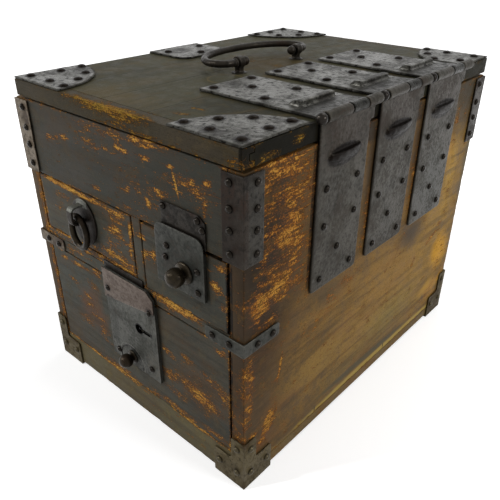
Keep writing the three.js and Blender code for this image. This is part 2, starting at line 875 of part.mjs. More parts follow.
// The tongue hangs from the middle knuckle, with a small knob to lift it by.
function haspTongue() {
  const { tongueWidth, tongueTip, tongueLength, tongueSheet, knobUp } = hasp;
  const gap = hinge.knuckleGap / 2;
  const low = haspZ - tongueLength;
  const shoulder = haspZ - hasp.barrel - hinge.leafGap;
  const halfKnuckle = haspKnuckles[1] - gap;
  const shape = outline([
    [-halfKnuckle, haspZ],
    [-halfKnuckle, shoulder],
    [-tongueWidth / 2, shoulder],
    [-tongueTip / 2, low, hinge.endRadius],
    [tongueTip / 2, low, hinge.endRadius],
    [tongueWidth / 2, shoulder],
    [halfKnuckle, shoulder],
    [halfKnuckle, haspZ],
  ]);
  const face = halfWidth + hinge.leafGap + bedding;
  const stud = turnedOn("left", [0, low + knobUp], face + tongueSheet / 2, [
    [0, 0],
    [hasp.knobNeck, 0],
    [hasp.knobNeck, hasp.knob],
    [hasp.knob, hasp.knob * 2],
    [hasp.knobNeck, hasp.knob * 3 - hasp.knobNeck],
    [0, hasp.knob * 3 - hasp.knobNeck],
  ]);
  const barrel = barY(haspX, haspZ, hasp.barrel, haspKnuckles[0] + gap, haspKnuckles[1] - gap);
  const bore = barY(haspX, haspZ, hasp.bore, -hasp.barrelLength, hasp.barrelLength);
  return cut(joined(plateOn("left", shape, tongueSheet, face), barrel, stud), bore);
}

function haspPin() {
  const end = hasp.barrelLength / 2 + hinge.knuckleGap;
  return joined(
    barY(haspX, haspZ, hasp.pin, -end - hasp.pinHeadWidth / 2, end + hasp.pinHeadWidth / 2),
    barY(haspX, haspZ, hasp.pinHead, end, end + hasp.pinHeadWidth),
    barY(haspX, haspZ, hasp.pinHead, -end - hasp.pinHeadWidth, -end),
  );
}

// A keyhole: a round eye with a slot to one side.
function keyholeTool(face, [u, v], { radius, slot, reach }, low, high) {
  const round = turnedOn(face, [u, v], low, [
    [0, 0],
    [radius, 0],
    [radius, high - low],
    [0, high - low],
  ]);
  const shape = outline([
    [u, v - slot / 2],
    [u + reach, v - slot / 2],
    [u + reach, v + slot / 2],
    [u, v + slot / 2],
  ]);
  return joined(round, plateOn(face, shape, high - low, low));
}

function lidPieces() {
  const backCleat = named("lid_cleat_back", lidCleat(), lacquer);
  const frontCleat = named("lid_cleat_front", lidCleat(), lacquer);
  frontCleat.scale.y = -1;
  return [
    named("lid_panel", lidPanel(), lacquer),
    backCleat,
    frontCleat,
    ...lidPlates(),
    ...strapPlaces.map((strap) => named(`lid_hinge_strap_${strap.place}`, lidStrap(strap), paleIron)),
    named("bail_eye_front", bailEye(-1), darkIron),
    named("bail_eye_back", bailEye(1), darkIron),
    named("bail_handle", bailHandle(), darkIron),
    named("hasp_strap", haspStrap(), paleIron),
    named("hasp_pin", haspPin(), darkIron),
    named("hasp_tongue", haspTongue(), darkIron),
  ];
}

// Drawers

// The bays, each with its seat, its sides and the gap above its drawer's front
const bays = {
  lower: {
    sides: [-innerHalf + drawer.sideGap, innerHalf - drawer.sideGap],
    seat: railTop,
    top: shelfLow - topGap.lower,
  },
  left: {
    sides: [-innerHalf + drawer.sideGap, dividerLeft - drawer.sideGap],
    seat: bedTop,
    top: tillLow - topGap.left,
  },
  right: {
    sides: [dividerRight + drawer.sideGap, innerHalf - rightDrawerGap],
    seat: shelfTop,
    top: tillLow - topGap.right,
  },
};

function drawerFront({ sides, seat, top }) {
  return block(sides, [front, frontInside], [seat + drawer.frontRaise, top]);
}

// The tray behind a drawer's front: two sides, a back and a floor.
function drawerTray({ sides: [left, right], seat, top }) {
  const x = [left + drawer.trayGap, right - drawer.trayGap];
  const end = backInside - drawer.behind;
  const low = seat + drawer.runGap;
  const high = top - drawer.trayDrop;
  const hollow = block(
    [x[0] + drawer.wall, x[1] - drawer.wall],
    [frontInside - overrun, end - drawer.backWall],
    [low + drawer.floor, high + overrun],
  );
  return cut(block(x, [frontInside, end], [low, high]), hollow);
}

// A pull knob whose shank passes through its plate and the drawer's front to a washer inside.
function knobPiece(size, [x, z], surface) {
  const through = frontInside + surface;
  const washerFace = -through - bedding;
  const steps = [];
  const rings = facets.knob / 2;
  for (let i = 0; i <= rings; i++) {
    const turn = Math.PI * (i / rings) - Math.PI / 2;
    const radius = size.ball * Math.cos(turn);
    const height = size.stand + size.ball * Math.sin(turn);
    if (height > size.collarWidth && radius > size.neck) steps.push([radius, height]);
  }
  return turnedOn("front", [x, z], surface + bedding, [
    [0, washerFace - shank.washerWidth],
    [shank.washer, washerFace - shank.washerWidth],
    [shank.washer, washerFace - bedding],
    [shank.radius, washerFace - bedding],
    [shank.radius, 0],
    [size.collar, 0],
    [size.collar, size.collarWidth / 2],
    [size.neck, size.collarWidth],
    ...steps,
    [0, size.stand + size.ball],
  ]);
}

function shankHole([x, z], from, to) {
  return turnedOn("front", [x, z], from, [
    [0, 0],
    [shank.hole, 0],
    [shank.hole, to - from],
    [0, to - from],
  ]);
}

const faceOut = halfDepth + bedding;

// A plate on a drawer's front that laps over the case above it, rebated behind to clear the strike.
function lappedPlate(corners, lapLow, thin, step) {
  const shape = outline(corners);
  const plate = plateOn("front", shape, thin + step, faceOut);
  const us = corners.map(([u]) => u);
  const tops = corners.map(([, v]) => v);
  const span = [Math.min(...us) - overrun, Math.max(...us) + overrun];
  const rebate = block(span, [-faceOut - step, -faceOut + overrun], [lapLow, Math.max(...tops) + overrun]);
  return cut(plate, rebate);
}

const rightStep = upperStrike.sheet + lapGap;
const rightSurface = faceOut + rightPlate.thin + rightStep;
const rightKnobPlace = [
  rightPlate.left + rightPlate.width * rightKnobShares[0],
  rightPlateLow + rightPlate.height * rightKnobShares[1],
];

function rightDrawerPlate() {
  const { left, width, height, corner, thin } = rightPlate;
  const high = rightPlateLow + height;
  const corners = [
    [left, rightPlateLow],
    [left + width, rightPlateLow],
    [left + width, high, corner],
    [left, high, corner],
  ];
  const heads = rightPlateNailShares.map(([u, v]) =>
    nailOn("front", [left + width * u, rightPlateLow + height * v], rightSurface),
  );
  const plate = lappedPlate(corners, bays.right.top - bedding, thin, rightStep);
  return cut(joined(plate, ...heads), shankHole(rightKnobPlace, faceOut - overrun, rightSurface + overrun));
}

// A strike plate on the case, behind the lap of a drawer's plate.
function upperStrikePlate() {
  const { left, width, height, cutAcross, cutDown } = upperStrike;
  const high = tillLow + height;
  const shape = outline([
    [left, tillLow],
    [left + width, tillLow],
    [left + width, high - cutDown],
    [left + width - cutAcross, high],
    [left, high],
  ]);
  const heads = upperStrikeNailShares.map(([u, v]) =>
    nailOn("front", [left + width * u, tillLow + height * v], faceOut + upperStrike.sheet),
  );
  return joined(plateOn("front", shape, upperStrike.sheet, faceOut), ...heads);
}

function lowerStrikePlate() {
  const { left, width, below, above } = lowerStrike;
  const shape = outline([
    [left, shelfTop - below],
    [left + width, shelfTop - below],
    [left + width, shelfTop + above],
    [left, shelfTop + above],
  ]);
  return plateOn("front", shape, lowerStrike.sheet, faceOut);
}

// Lock of the lower drawer

const boltFront = frontInside + bedding + lockCase.wall;
const lowerKnobPlace = [lockPlate.left + lockPlate.width * lowerKnobShare, lockPlateLow + lowerKnobUp];
const lockStep = lowerStrike.sheet + lapGap;
const lockSurface = faceOut + lockPlate.thin + lockStep;

function lockPlateCorners() {
  const { left, width } = lockPlate;
  return [
    [left, lockPlateLow],
    [left + width, lockPlateLow],
    [left + width, lockPlateTop - lockPlateCut.down],
    [left + width - lockPlateCut.across, lockPlateTop],
    [left, lockPlateTop],
  ];
}

function lowerLockPlate() {
  const { left, width, height } = lockPlate;
  const heads = lockNailShares.map(([u, v]) =>
    nailOn("front", [left + width * u, lockPlateLow + height * v], lockSurface),
  );
  const half = knobRing.width / 2;
  const raised = new THREE.TorusGeometry(knobRing.radius, half, facets.nail / 2, facets.knob);
  raised.scale(1, 1, knobRing.height / half);
  raised.translate(lowerKnobPlace[0] - knobRing.aside, lowerKnobPlace[1] - knobRing.below, 0);
  const spill = block(
    [left, left + width],
    [-lockSurface - overrun, -lockSurface + overrun],
    [lockPlateLow - knobRing.radius, lockPlateLow + lockPlate.thin / 2],
  );
  const arc = cut(onFace(raised, "front", lockSurface), spill);
  const lapLow = bays.lower.top - bedding;
  const plate = lappedPlate(lockPlateCorners(), lapLow, lockPlate.thin, lockStep);
  const whole = joined(plate, ...heads, arc);
  const key = keyholeTool("front", [keyhole.x, keyholeZ], keyhole, faceOut - overrun, lockSurface + overrun);
  return cut(whole, key, shankHole(lowerKnobPlace, faceOut - overrun, lockSurface + overrun));
}

// The cover over the upper part of the lock plate, with a slanting lower edge.
function lowerLockCover() {
  const { left, width, height } = lockPlate;
  const { leftRise, rightRise } = lockCover;
  const upperCorners = lockPlateCorners().slice(2);
  const shape = outline([
    [left, lockPlateLow + leftRise],
    [left + width, lockPlateLow + rightRise],
    ...upperCorners,
  ]);
  const face = lockSurface + bedding;
  const rivet = { radius: lockCover.rivet, height: lockCover.rivetHeight };
  const heads = coverRivetShares.map(([u, v]) =>
    nailOn("front", [left + width * u, lockPlateLow + height * v], face + lockCover.sheet, rivet),
  );
  return joined(plateOn("front", shape, lockCover.sheet, face), ...heads);
}

const lockCaseTop = bays.lower.top - lockCase.below;

// The lock's case stands on the back of the drawer's front, open above and at its foot.
function lowerLockCase() {
  const { width, height, depth, wall } = lockCase;
  const x = [keyhole.x - width / 2, keyhole.x + width / 2];
  const y = [frontInside + bedding, frontInside + bedding + depth];
  const z = [lockCaseTop - height, lockCaseTop];
  const hollow = block(
    [x[0] + wall, x[1] - wall],
    [y[0] + wall, y[1] - wall],
    [z[0] - overrun, z[1] + overrun],
  );
  const entry = [keyhole.x, keyholeZ];
  const key = keyholeTool("front", entry, keyhole, -y[0] - wall - overrun, -y[0] + overrun);
  return cut(block(x, y, z), hollow, key);
}

// The bolt slides up out of the case into the shelf. The key's bit turns in its notch.
function lowerLockBolt() {
  const { width, thickness, height, rest, notch, gap } = lockBolt;
  const top = bays.lower.top - rest;
  const y = [boltFront + gap, boltFront + thickness];
  const bar = block([keyhole.x - width / 2, keyhole.x + width / 2], y, [top - height, top]);
  const talon = block(
    [keyhole.x - notch, keyhole.x + notch],
    [y[0] - overrun, y[1] + overrun],
    [top - height - overrun, keyholeZ + notch],
  );
  return cut(bar, talon);
}

function lowerDrawerFront() {
  const board = drawerFront(bays.lower);
  const through = [-frontInside - overrun, halfDepth + overrun];
  const key = keyholeTool("front", [keyhole.x, keyholeZ], keyhole, ...through);
  return cut(board, key, shankHole(lowerKnobPlace, ...through));
}

function rightDrawerFront() {
  return cut(drawerFront(bays.right), shankHole(rightKnobPlace, -frontInside - overrun, halfDepth + overrun));
}

// Ring pull

const ringX = (bays.left.sides[0] + bays.left.sides[1]) / 2;
const seatZ = (bays.left.seat + bays.left.top) / 2;
const ringTurnZ = bays.left.top - ring.drop;
const ringTurnY = -faceOut - ringSeat.sheet - ring.stand;

// An oval plate with an arch that stands out of it and holds the ring.
function ringSeatPiece() {
  const radii = [ringSeat.width / 2, ringSeat.height / 2];
  const oval = new THREE.Shape().absellipse(ringX, seatZ, ...radii, 0, 2 * Math.PI);
  const options = { depth: ringSeat.sheet, bevelEnabled: false, curveSegments: facets.arc };
  const base = onFace(new THREE.ExtrudeGeometry(oval, options), "front", faceOut);
  const { width, bar, out, opening, bend, outerBend } = ringArch;
  const low = ringTurnZ - ring.bar - ring.dip - ring.gap;
  const arch = archSolid([low - bar, low + opening + bar], out + bar, outerBend, width);
  const hole = archSolid([low, low + opening], out, bend, width + overrun);
  return joined(base, cut(arch, hole));
}

// A bar across the plate with rounded outer edges, drawn in the plane of Y and Z.
function archSolid([low, high], out, bend, width) {
  const root = -ringSeat.sheet / 2;
  const shape = outline([
    [root, low],
    [out, low, bend],
    [out, high, bend],
    [root, high],
  ]);
  const options = { depth: width, bevelEnabled: false, curveSegments: facets.bend };
  const solid = new THREE.ExtrudeGeometry(shape, options);
  const outward = inward.clone().negate();
  const turn = new THREE.Matrix4().makeBasis(outward, upward, across.clone().negate());
  solid.applyMatrix4(turn);
  return solid.translate(ringX + width / 2, -faceOut - ringSeat.sheet, 0);
}

// The ring is a torus drawn out into an oval while its bar stays round.
function ringPull() {
  const { halfWidth: a, halfHeight: b, bar } = ring;
  const geometry = new THREE.TorusGeometry(a, bar, ringFacets.bar, ringFacets.turn);
  const position = geometry.attributes.position;
  for (let i = 0; i < position.count; i++) {
    const turn = Math.atan2(position.getY(i), position.getX(i));
    const aside = Math.hypot(position.getX(i), position.getY(i)) - a;
    const normal = new THREE.Vector2(Math.cos(turn) / a, Math.sin(turn) / b).normalize();
    position.setXY(i, a * Math.cos(turn) + aside * normal.x, b * Math.sin(turn) + aside * normal.y);
  }
  geometry.translate(ringX, ringTurnZ - b, 0);
  return onFace(geometry, "front", -ringTurnY);
}

function drawerPieces() {
  return [
    named("left_drawer_front", drawerFront(bays.left), lacquer),
    named("left_drawer_tray", drawerTray(bays.left), bareWood),
    named("ring_seat", ringSeatPiece(), darkIron),
    named("ring_pull", ringPull(), darkIron),
    named("right_drawer_front", rightDrawerFront(), lacquer),
    named("right_drawer_tray", drawerTray(bays.right), bareWood),
    named("right_drawer_plate", rightDrawerPlate(), darkIron),
    named("right_drawer_knob", knobPiece(knob, rightKnobPlace, rightSurface), darkIron),
    named("lower_drawer_front", lowerDrawerFront(), lacquer),
    named("lower_drawer_tray", drawerTray(bays.lower), bareWood),
    named("lower_lock_plate", lowerLockPlate(), darkIron),
    named("lower_lock_cover", lowerLockCover(), darkIron),
    named("lower_drawer_knob", knobPiece(smallKnob, lowerKnobPlace, lockSurface), darkIron),
    named("lower_lock_case", lowerLockCase(), darkIron),
    named("lower_lock_bolt", lowerLockBolt(), darkIron),
  ];
}

function strikePieces() {
  return [
    named("upper_strike_plate", upperStrikePlate(), darkIron),
    named("lower_strike_plate", lowerStrikePlate(), darkIron),
  ];
}

const chest = grouped(
  caseBoards(),
  ...caseIrons(),
  ...caseHinges(),
  ...strikePieces(),
  ...lidPieces(),
  ...drawerPieces(),
);
const overall = new THREE.Box3().setFromObject(chest);
const centre = overall.getCenter(new THREE.Vector3());
chest.position.set(-centre.x, -centre.y, 0);

export default chest;
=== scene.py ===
"""Looks of an antique ship chest: lacquered boards bound in forged iron.

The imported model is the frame. Each of its nodes is replaced by a worked piece of the same
place and size: planks with softened, chipped edges and forged irons with dents, pits and nails.
Lengths are in metres, but those of patches, stains, seams and circles are in millimetres.
"""

import json
import logging
import math
from dataclasses import dataclass, field, replace
from enum import Enum
from functools import cached_property

import bmesh
import bpy
import numpy as np
from bmesh.types import BMesh, BMVert
from bpy.types import Material, Mesh, Node, NodeSocket, Object, World
from mathutils import Euler, Matrix, Vector, noise

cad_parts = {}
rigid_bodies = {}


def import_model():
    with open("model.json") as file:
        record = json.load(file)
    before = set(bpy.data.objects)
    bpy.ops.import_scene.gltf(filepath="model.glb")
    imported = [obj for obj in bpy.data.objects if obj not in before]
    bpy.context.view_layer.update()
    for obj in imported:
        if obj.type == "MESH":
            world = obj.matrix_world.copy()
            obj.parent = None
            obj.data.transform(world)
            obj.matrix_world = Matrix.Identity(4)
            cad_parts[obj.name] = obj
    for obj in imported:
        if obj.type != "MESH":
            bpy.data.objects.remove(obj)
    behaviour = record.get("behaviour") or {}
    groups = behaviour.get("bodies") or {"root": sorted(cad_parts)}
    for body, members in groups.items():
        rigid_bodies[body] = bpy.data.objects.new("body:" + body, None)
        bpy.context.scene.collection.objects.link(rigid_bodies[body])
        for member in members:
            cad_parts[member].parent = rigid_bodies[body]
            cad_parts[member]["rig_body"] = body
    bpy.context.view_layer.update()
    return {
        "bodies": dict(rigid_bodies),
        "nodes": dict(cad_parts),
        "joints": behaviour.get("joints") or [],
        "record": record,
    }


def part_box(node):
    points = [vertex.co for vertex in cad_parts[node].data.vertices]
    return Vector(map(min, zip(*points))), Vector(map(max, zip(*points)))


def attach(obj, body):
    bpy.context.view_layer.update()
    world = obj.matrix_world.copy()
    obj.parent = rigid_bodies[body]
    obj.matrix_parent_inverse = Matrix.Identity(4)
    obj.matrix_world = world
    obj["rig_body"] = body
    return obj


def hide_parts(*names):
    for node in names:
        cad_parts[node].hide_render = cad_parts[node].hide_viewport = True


LOG = logging.getLogger("ship_chest")
MM = 0.001
WELD = 1e-6
WHITE = (1.0, 1.0, 1.0, 1.0)
# Painted shade: a near-black laid on the faces beside the right-hand drawers, where the gaps fall in shadow.
GAP_SHADE = "0b0906"
# Painted shade: the dark inside and round the rim of the keyhole.
KEYHOLE_SHADE = "060504"
PIT = "171411"
SEAM = "17150f"
CRISP = 0.4
STAIN_START = 0.08
BOX_RIM = (1.0, 0.62)
LINE_CORE = 0.45
SEAM_LINE = (0.9 * MM, 0.1 * MM)
LARGE_NAIL = 5 * MM
SHARP = math.radians(50)
ARRIS = math.radians(40)

Triple = tuple[float, float, float]


def paint(code: str) -> tuple[float, float, float, float]:
    """A colour of six hexadecimal digits, as it looks on a screen, made linear."""
    shares = [int(code[i : i + 2], 16) / 255 for i in (0, 2, 4)]
    return (*(s / 12.92 if s <= 0.04045 else ((s + 0.055) / 1.055) ** 2.4 for s in shares), 1.0)


class Grain(Enum):
    """The direction that the fibres of a board, or the strokes of a brush, follow."""

    X = 0
    Y = 1
    Z = 2

    def scales(self, along: float, across: float) -> Triple:
        """Repeats per metre on each axis, from those along and across the grain."""
        return tuple(along if axis == self.value else across for axis in range(3))


@dataclass(frozen=True)
class Patch:
    """An oval or boxed place on the chest, turned in degrees."""

    centre: Triple
    reach: Triple
    strength: float = 1.0
    turn: Triple = (0.0, 0.0, 0.0)
    boxed: bool = False


@dataclass(frozen=True)
class Stain:
    """A colour that lies over a patch, broken up by noise, with a soft or a crisp rim."""

    colour: str
    patch: Patch
    rough: float = 0.5
    soft: float = 0.52


@dataclass(frozen=True)
class Circle:
    """A line along a circle. An axis counts as much as flat says, 0 along the circle's own axis."""

    centre: Triple
    radius: float
    width: float
    colour: str
    strength: float = 1.0
    broken: float = 0.0
    flat: Triple = (1.0, 0.0, 1.0)


@dataclass(frozen=True)
class Face:
    """A face of the chest, square to an axis, with the depth of the patches on it."""

    axis: int
    level: float
    depth: float = 30.0
    hand: float = 1.0

    def patch(self, across: float, up: float, wide: float, high: float, strength: float = 1.0,
              turn: float = 0.0, boxed: bool = False) -> Patch:
        """A patch on the face.

        Args:
            across: Place along the first of the other two axes.
            up: Place along the second.
            wide: Half its size along the first.
            high: Half its size along the second.
            strength: How much it adds.
            turn: Degrees that it is turned.
            boxed: Whether it is a box.

        Returns:
            The patch.
        """
        rows = [across, up], [wide, high], [0.0, 0.0]
        for row, depth in zip(rows, (self.level, self.depth, self.hand * turn)):
            row.insert(self.axis, depth)
        return Patch(tuple(rows[0]), tuple(rows[1]), strength, tuple(rows[2]), boxed)

    def worn(self, *rows: tuple) -> tuple[Patch, ...]:
        """Worn patches, from a row of numbers for each."""
        return tuple(self.patch(*row) for row in rows)

    def stained(self, *rows: tuple) -> tuple[Stain, ...]:
        """Stains, from a row with the colour, the patch's numbers and the rim for each."""
        return tuple(Stain(colour, self.patch(*numbers), *rim) for colour, numbers, *rim in rows)


FRONT = Face(1, -231.0, hand=-1.0)
SIDE = Face(0, 178.0)
LEFT = Face(0, -178.0)
BACK = Face(1, 250.0)
LID = Face(2, 400.0, 20.0)
PLATE = Face(1, -240.0, 9.0)


@dataclass(frozen=True)
class Signal:
    """A number or a colour that runs through a graph."""

    graph: "Graph"
    socket: NodeSocket

    def __add__(self, other: "Value") -> "Signal":
        """The sum."""
        return self.graph.math("ADD", self, other)

    def __sub__(self, other: "Value") -> "Signal":
        """The difference."""
        return self.graph.math("SUBTRACT", self, other)

    def __rsub__(self, other: "Value") -> "Signal":
        """The difference, the other way round."""
        return self.graph.math("SUBTRACT", other, self)

    def __mul__(self, other: "Value") -> "Signal":
        """The product."""
        return self.graph.math("MULTIPLY", self, other)

    def __abs__(self) -> "Signal":
        """The number without its sign."""
        return self.graph.math("ABSOLUTE", self)

    def step(self, low: "Value", high: "Value", first: float = 0.0, last: float = 1.0) -> "Signal":
        """A smooth step from a first to a last number, while this one goes from low to high."""
        feeds = {"Value": self, "From Min": low, "From Max": high, "To Min": first, "To Max": last}
        return self.graph.out("ShaderNodeMapRange", 0, feeds, interpolation_type="SMOOTHSTEP")

    def coat(self, share: "Value", over: "str | Signal") -> "Signal":
        """This colour with a share of another one over it."""
        return self.graph.mix(share, self, paint(over) if isinstance(over, str) else over)

    def coats(self, *rows: tuple["Signal", float, float, float, str]) -> "Signal":
        """This colour under several others.

        Args:
            *rows: For each a pattern, the two numbers it steps between, a share and a colour.

        Returns:
            The colour.
        """
        colour = self
        for pattern, low, high, share, over in rows:
            colour = colour.coat(pattern.step(low, high) * share, over)
        return colour

    def stained(self, stains: list[Stain], uneven: "Signal") -> "Signal":
        """This colour under stains.

        Args:
            stains: The stains, in their order.
            uneven: A number around 0 that breaks their rims up.

        Returns:
            The colour.
        """
        colour = self
        for stain in stains:
            spot = self.graph.spot(stain.patch)
            there = (spot + uneven * stain.rough * spot.step(0.0, 0.2)).step(STAIN_START, STAIN_START + stain.soft)
            colour = colour.coat(there * stain.patch.strength, stain.colour)
        return colour

    def circled(self, circles: tuple[Circle, ...], uneven: "Signal") -> "Signal":
        """This colour under the lines of circles.

        Args:
            circles: The circles.
            uneven: A number around 0 that breaks them up.

        Returns:
            The colour.
        """
        colour, g = self, self.graph
        for mark in circles:
            place = tuple(-v * MM * f for v, f in zip(mark.centre, mark.flat))
            off = abs(g.length(g.mapped(place, scale=mark.flat)) - mark.radius * MM) + uneven * (mark.broken * MM)
            line = off.step(mark.width * MM, LINE_CORE * mark.width * MM)
            colour = colour.coat(line * mark.strength, mark.colour)
        return colour


Value = float | Signal


class Graph:
    """Builds the nodes of one material or world."""

    def __init__(self, owner: Material | World) -> None:
        """Starts with no nodes in the owner."""
        self.owner = owner
        owner.use_nodes = True
        owner.node_tree.nodes.clear()

    @cached_property
    def place(self) -> Signal:
        """Object coordinates."""
        return self.out("ShaderNodeTexCoord", "Object")

    def node(self, kind: str, feeds: dict[int | str, object], **settings: object) -> Node:
        """A new node.

        Args:
            kind: Blender's name for the node.
            feeds: The signals and constants for its inputs.
            **settings: Properties to set on it.

        Returns:
            The node.
        """
        made = self.owner.node_tree.nodes.new(kind)
        for key, value in settings.items():
            setattr(made, key, value)
        for key, value in feeds.items():
            if isinstance(value, Signal):
                self.owner.node_tree.links.new(value.socket, made.inputs[key])
            else:
                made.inputs[key].default_value = value
        return made

    def out(self, kind: str, output: int | str = 0, feeds: dict | None = None, **settings: object) -> Signal:
        """One output of a new node."""
        return Signal(self, self.node(kind, feeds or {}, **settings).outputs[output])

    def math(self, operation: str, first: Value, second: Value = 0.0, clamp: bool = False) -> Signal:
        """One operation on two numbers."""
        return self.out("ShaderNodeMath", 0, {0: first, 1: second}, operation=operation, use_clamp=clamp)

    def mapped(self, place: Triple = (0, 0, 0), turn: Triple = (0, 0, 0), scale: Triple = (1, 1, 1),
               kind: str = "POINT") -> Signal:
        """Object coordinates, moved, turned in degrees and scaled, or with kind TEXTURE the inverse."""
        turned = [math.radians(t) for t in turn]
        feeds = {"Vector": self.place, "Location": place, "Rotation": turned, "Scale": scale}
        return self.out("ShaderNodeMapping", 0, feeds, vector_type=kind)

    def length(self, vector: Signal) -> Signal:
        """How long a vector is."""
        return self.out("ShaderNodeVectorMath", "Value", {0: vector}, operation="LENGTH")

    def axes(self, vector: Signal) -> list[Signal]:
        """The three numbers of a vector."""
        return [Signal(self, out) for out in self.node("ShaderNodeSeparateXYZ", {0: vector}).outputs]

    def noise(self, scale: Triple | float, detail: float, rough: float, bend: float = 0.0,
              shift: float = 0.0) -> Signal:
        """A noise, as a number around a half.

        Args:
            scale: Repeats per metre, for all axes or for each.
            detail: Octaves.
            rough: How strong the fine octaves are.
            bend: Distortion.
            shift: Moves the pattern, so that two noises differ.

        Returns:
            The noise.
        """
        scales = scale if isinstance(scale, tuple) else (scale, scale, scale)
        place = self.mapped((shift, shift, shift), scale=scales)
        feeds = {"Vector": place, "Scale": 1.0, "Detail": detail, "Roughness": rough, "Distortion": bend}
        return self.out("ShaderNodeTexNoise", 0, feeds, noise_dimensions="3D")

    def mix(self, share: Value, first: object, second: object, blend: str = "MIX") -> Signal:
        """Two colours, mixed, with a share of the second."""
        return self.out("ShaderNodeMix", 2, {0: share, 6: first, 7: second}, data_type="RGBA", blend_type=blend)

    def spot(self, patch: Patch) -> Signal:
        """How near a place is to a patch.

        Args:
            patch: The patch.

        Returns:
            A number that falls from 1 in the middle to 0 at the rim.
        """
        place, reach = (tuple(v * MM for v in row) for row in (patch.centre, patch.reach))
        share = self.mapped(place, patch.turn, reach, "TEXTURE")
        if not patch.boxed:
            return self.out("ShaderNodeTexGradient", 1, {0: share}, gradient_type="SPHERICAL")
        x, y, z = (abs(axis) for axis in self.axes(share))
        return self.math("MAXIMUM", self.math("MAXIMUM", x, y), z).step(*BOX_RIM)

    def spots(self, patches: tuple[Patch, ...], start: Signal) -> Signal:
        """A number with what patches add to it."""
        for patch in patches:
            start = self.spot(patch) * patch.strength + start
        return start

    def attribute(self, name: str) -> Signal:
        """A number kept on the mesh's points."""
        return self.out("ShaderNodeAttribute", "Fac", attribute_name=name)

    def edge_distance(self, low: Vector, high: Vector) -> Signal:
        """How far a point on a box-shaped board lies from the board's nearest edge.

        Args:
            low: The board's lowest corner.
            high: Its highest corner.

        Returns:
            The distance, in metres.
        """
        half = (high - low) / 2
        axes = self.axes(self.mapped(tuple(-(low + high) / 2)))
        x, y, z = (size - abs(axis) for size, axis in zip(half, axes))
        most = self.math("MINIMUM", self.math("MAXIMUM", x, y), z)
        return self.math("MAXIMUM", self.math("MINIMUM", x, y), most)

    def seen(self) -> Signal:
        """A number that is 1 for what the camera sees, also in a mirror or through glass."""
        rays = self.node("ShaderNodeLightPath", {}).outputs
        camera, glossy, through = (
            Signal(self, rays[name]) for name in ("Is Camera Ray", "Is Glossy Ray", "Is Transmission Ray")
        )
        return self.math("MAXIMUM", self.math("MAXIMUM", camera, glossy), through)

    def end(self, kind: str, surface: Signal) -> None:
        """Ends the nodes in an output."""
        self.node(kind, {"Surface": surface})


@dataclass(frozen=True, kw_only=True)
class Finish:
    """What finishes share. Roughness goes from smooth to rough, and shade darkens the whole."""

    name: str
    roughness: tuple[float, float]
    sheen: float
    shade: float
    relief: float
    stains: tuple[Stain, ...] = ()
    circles: tuple[Circle, ...] = ()

    def close(self, colour: Signal, roughness: Signal, height: Signal, metallic: Value = 0.0) -> Material:
        """Ends the material in one shader.

        Args:
            colour: Its colour, before it is shaded.
            roughness: Its roughness.
            height: Its relief, from 0 to 1.
            metallic: How much it is a metal.

        Returns:
            The material.
        """
        g = colour.graph
        feeds = {
            "Base Color": g.mix(1.0, colour, (self.shade, self.shade, self.shade, 1.0), "MULTIPLY"),
            "Roughness": roughness,
            "Normal": g.out("ShaderNodeBump", 0, {"Strength": 1.0, "Distance": self.relief, "Height": height}),
            "Metallic": metallic,
            "Specular IOR Level": self.sheen,
        }
        g.end("ShaderNodeOutputMaterial", g.out("ShaderNodeBsdfPrincipled", 0, feeds))
        return g.owner


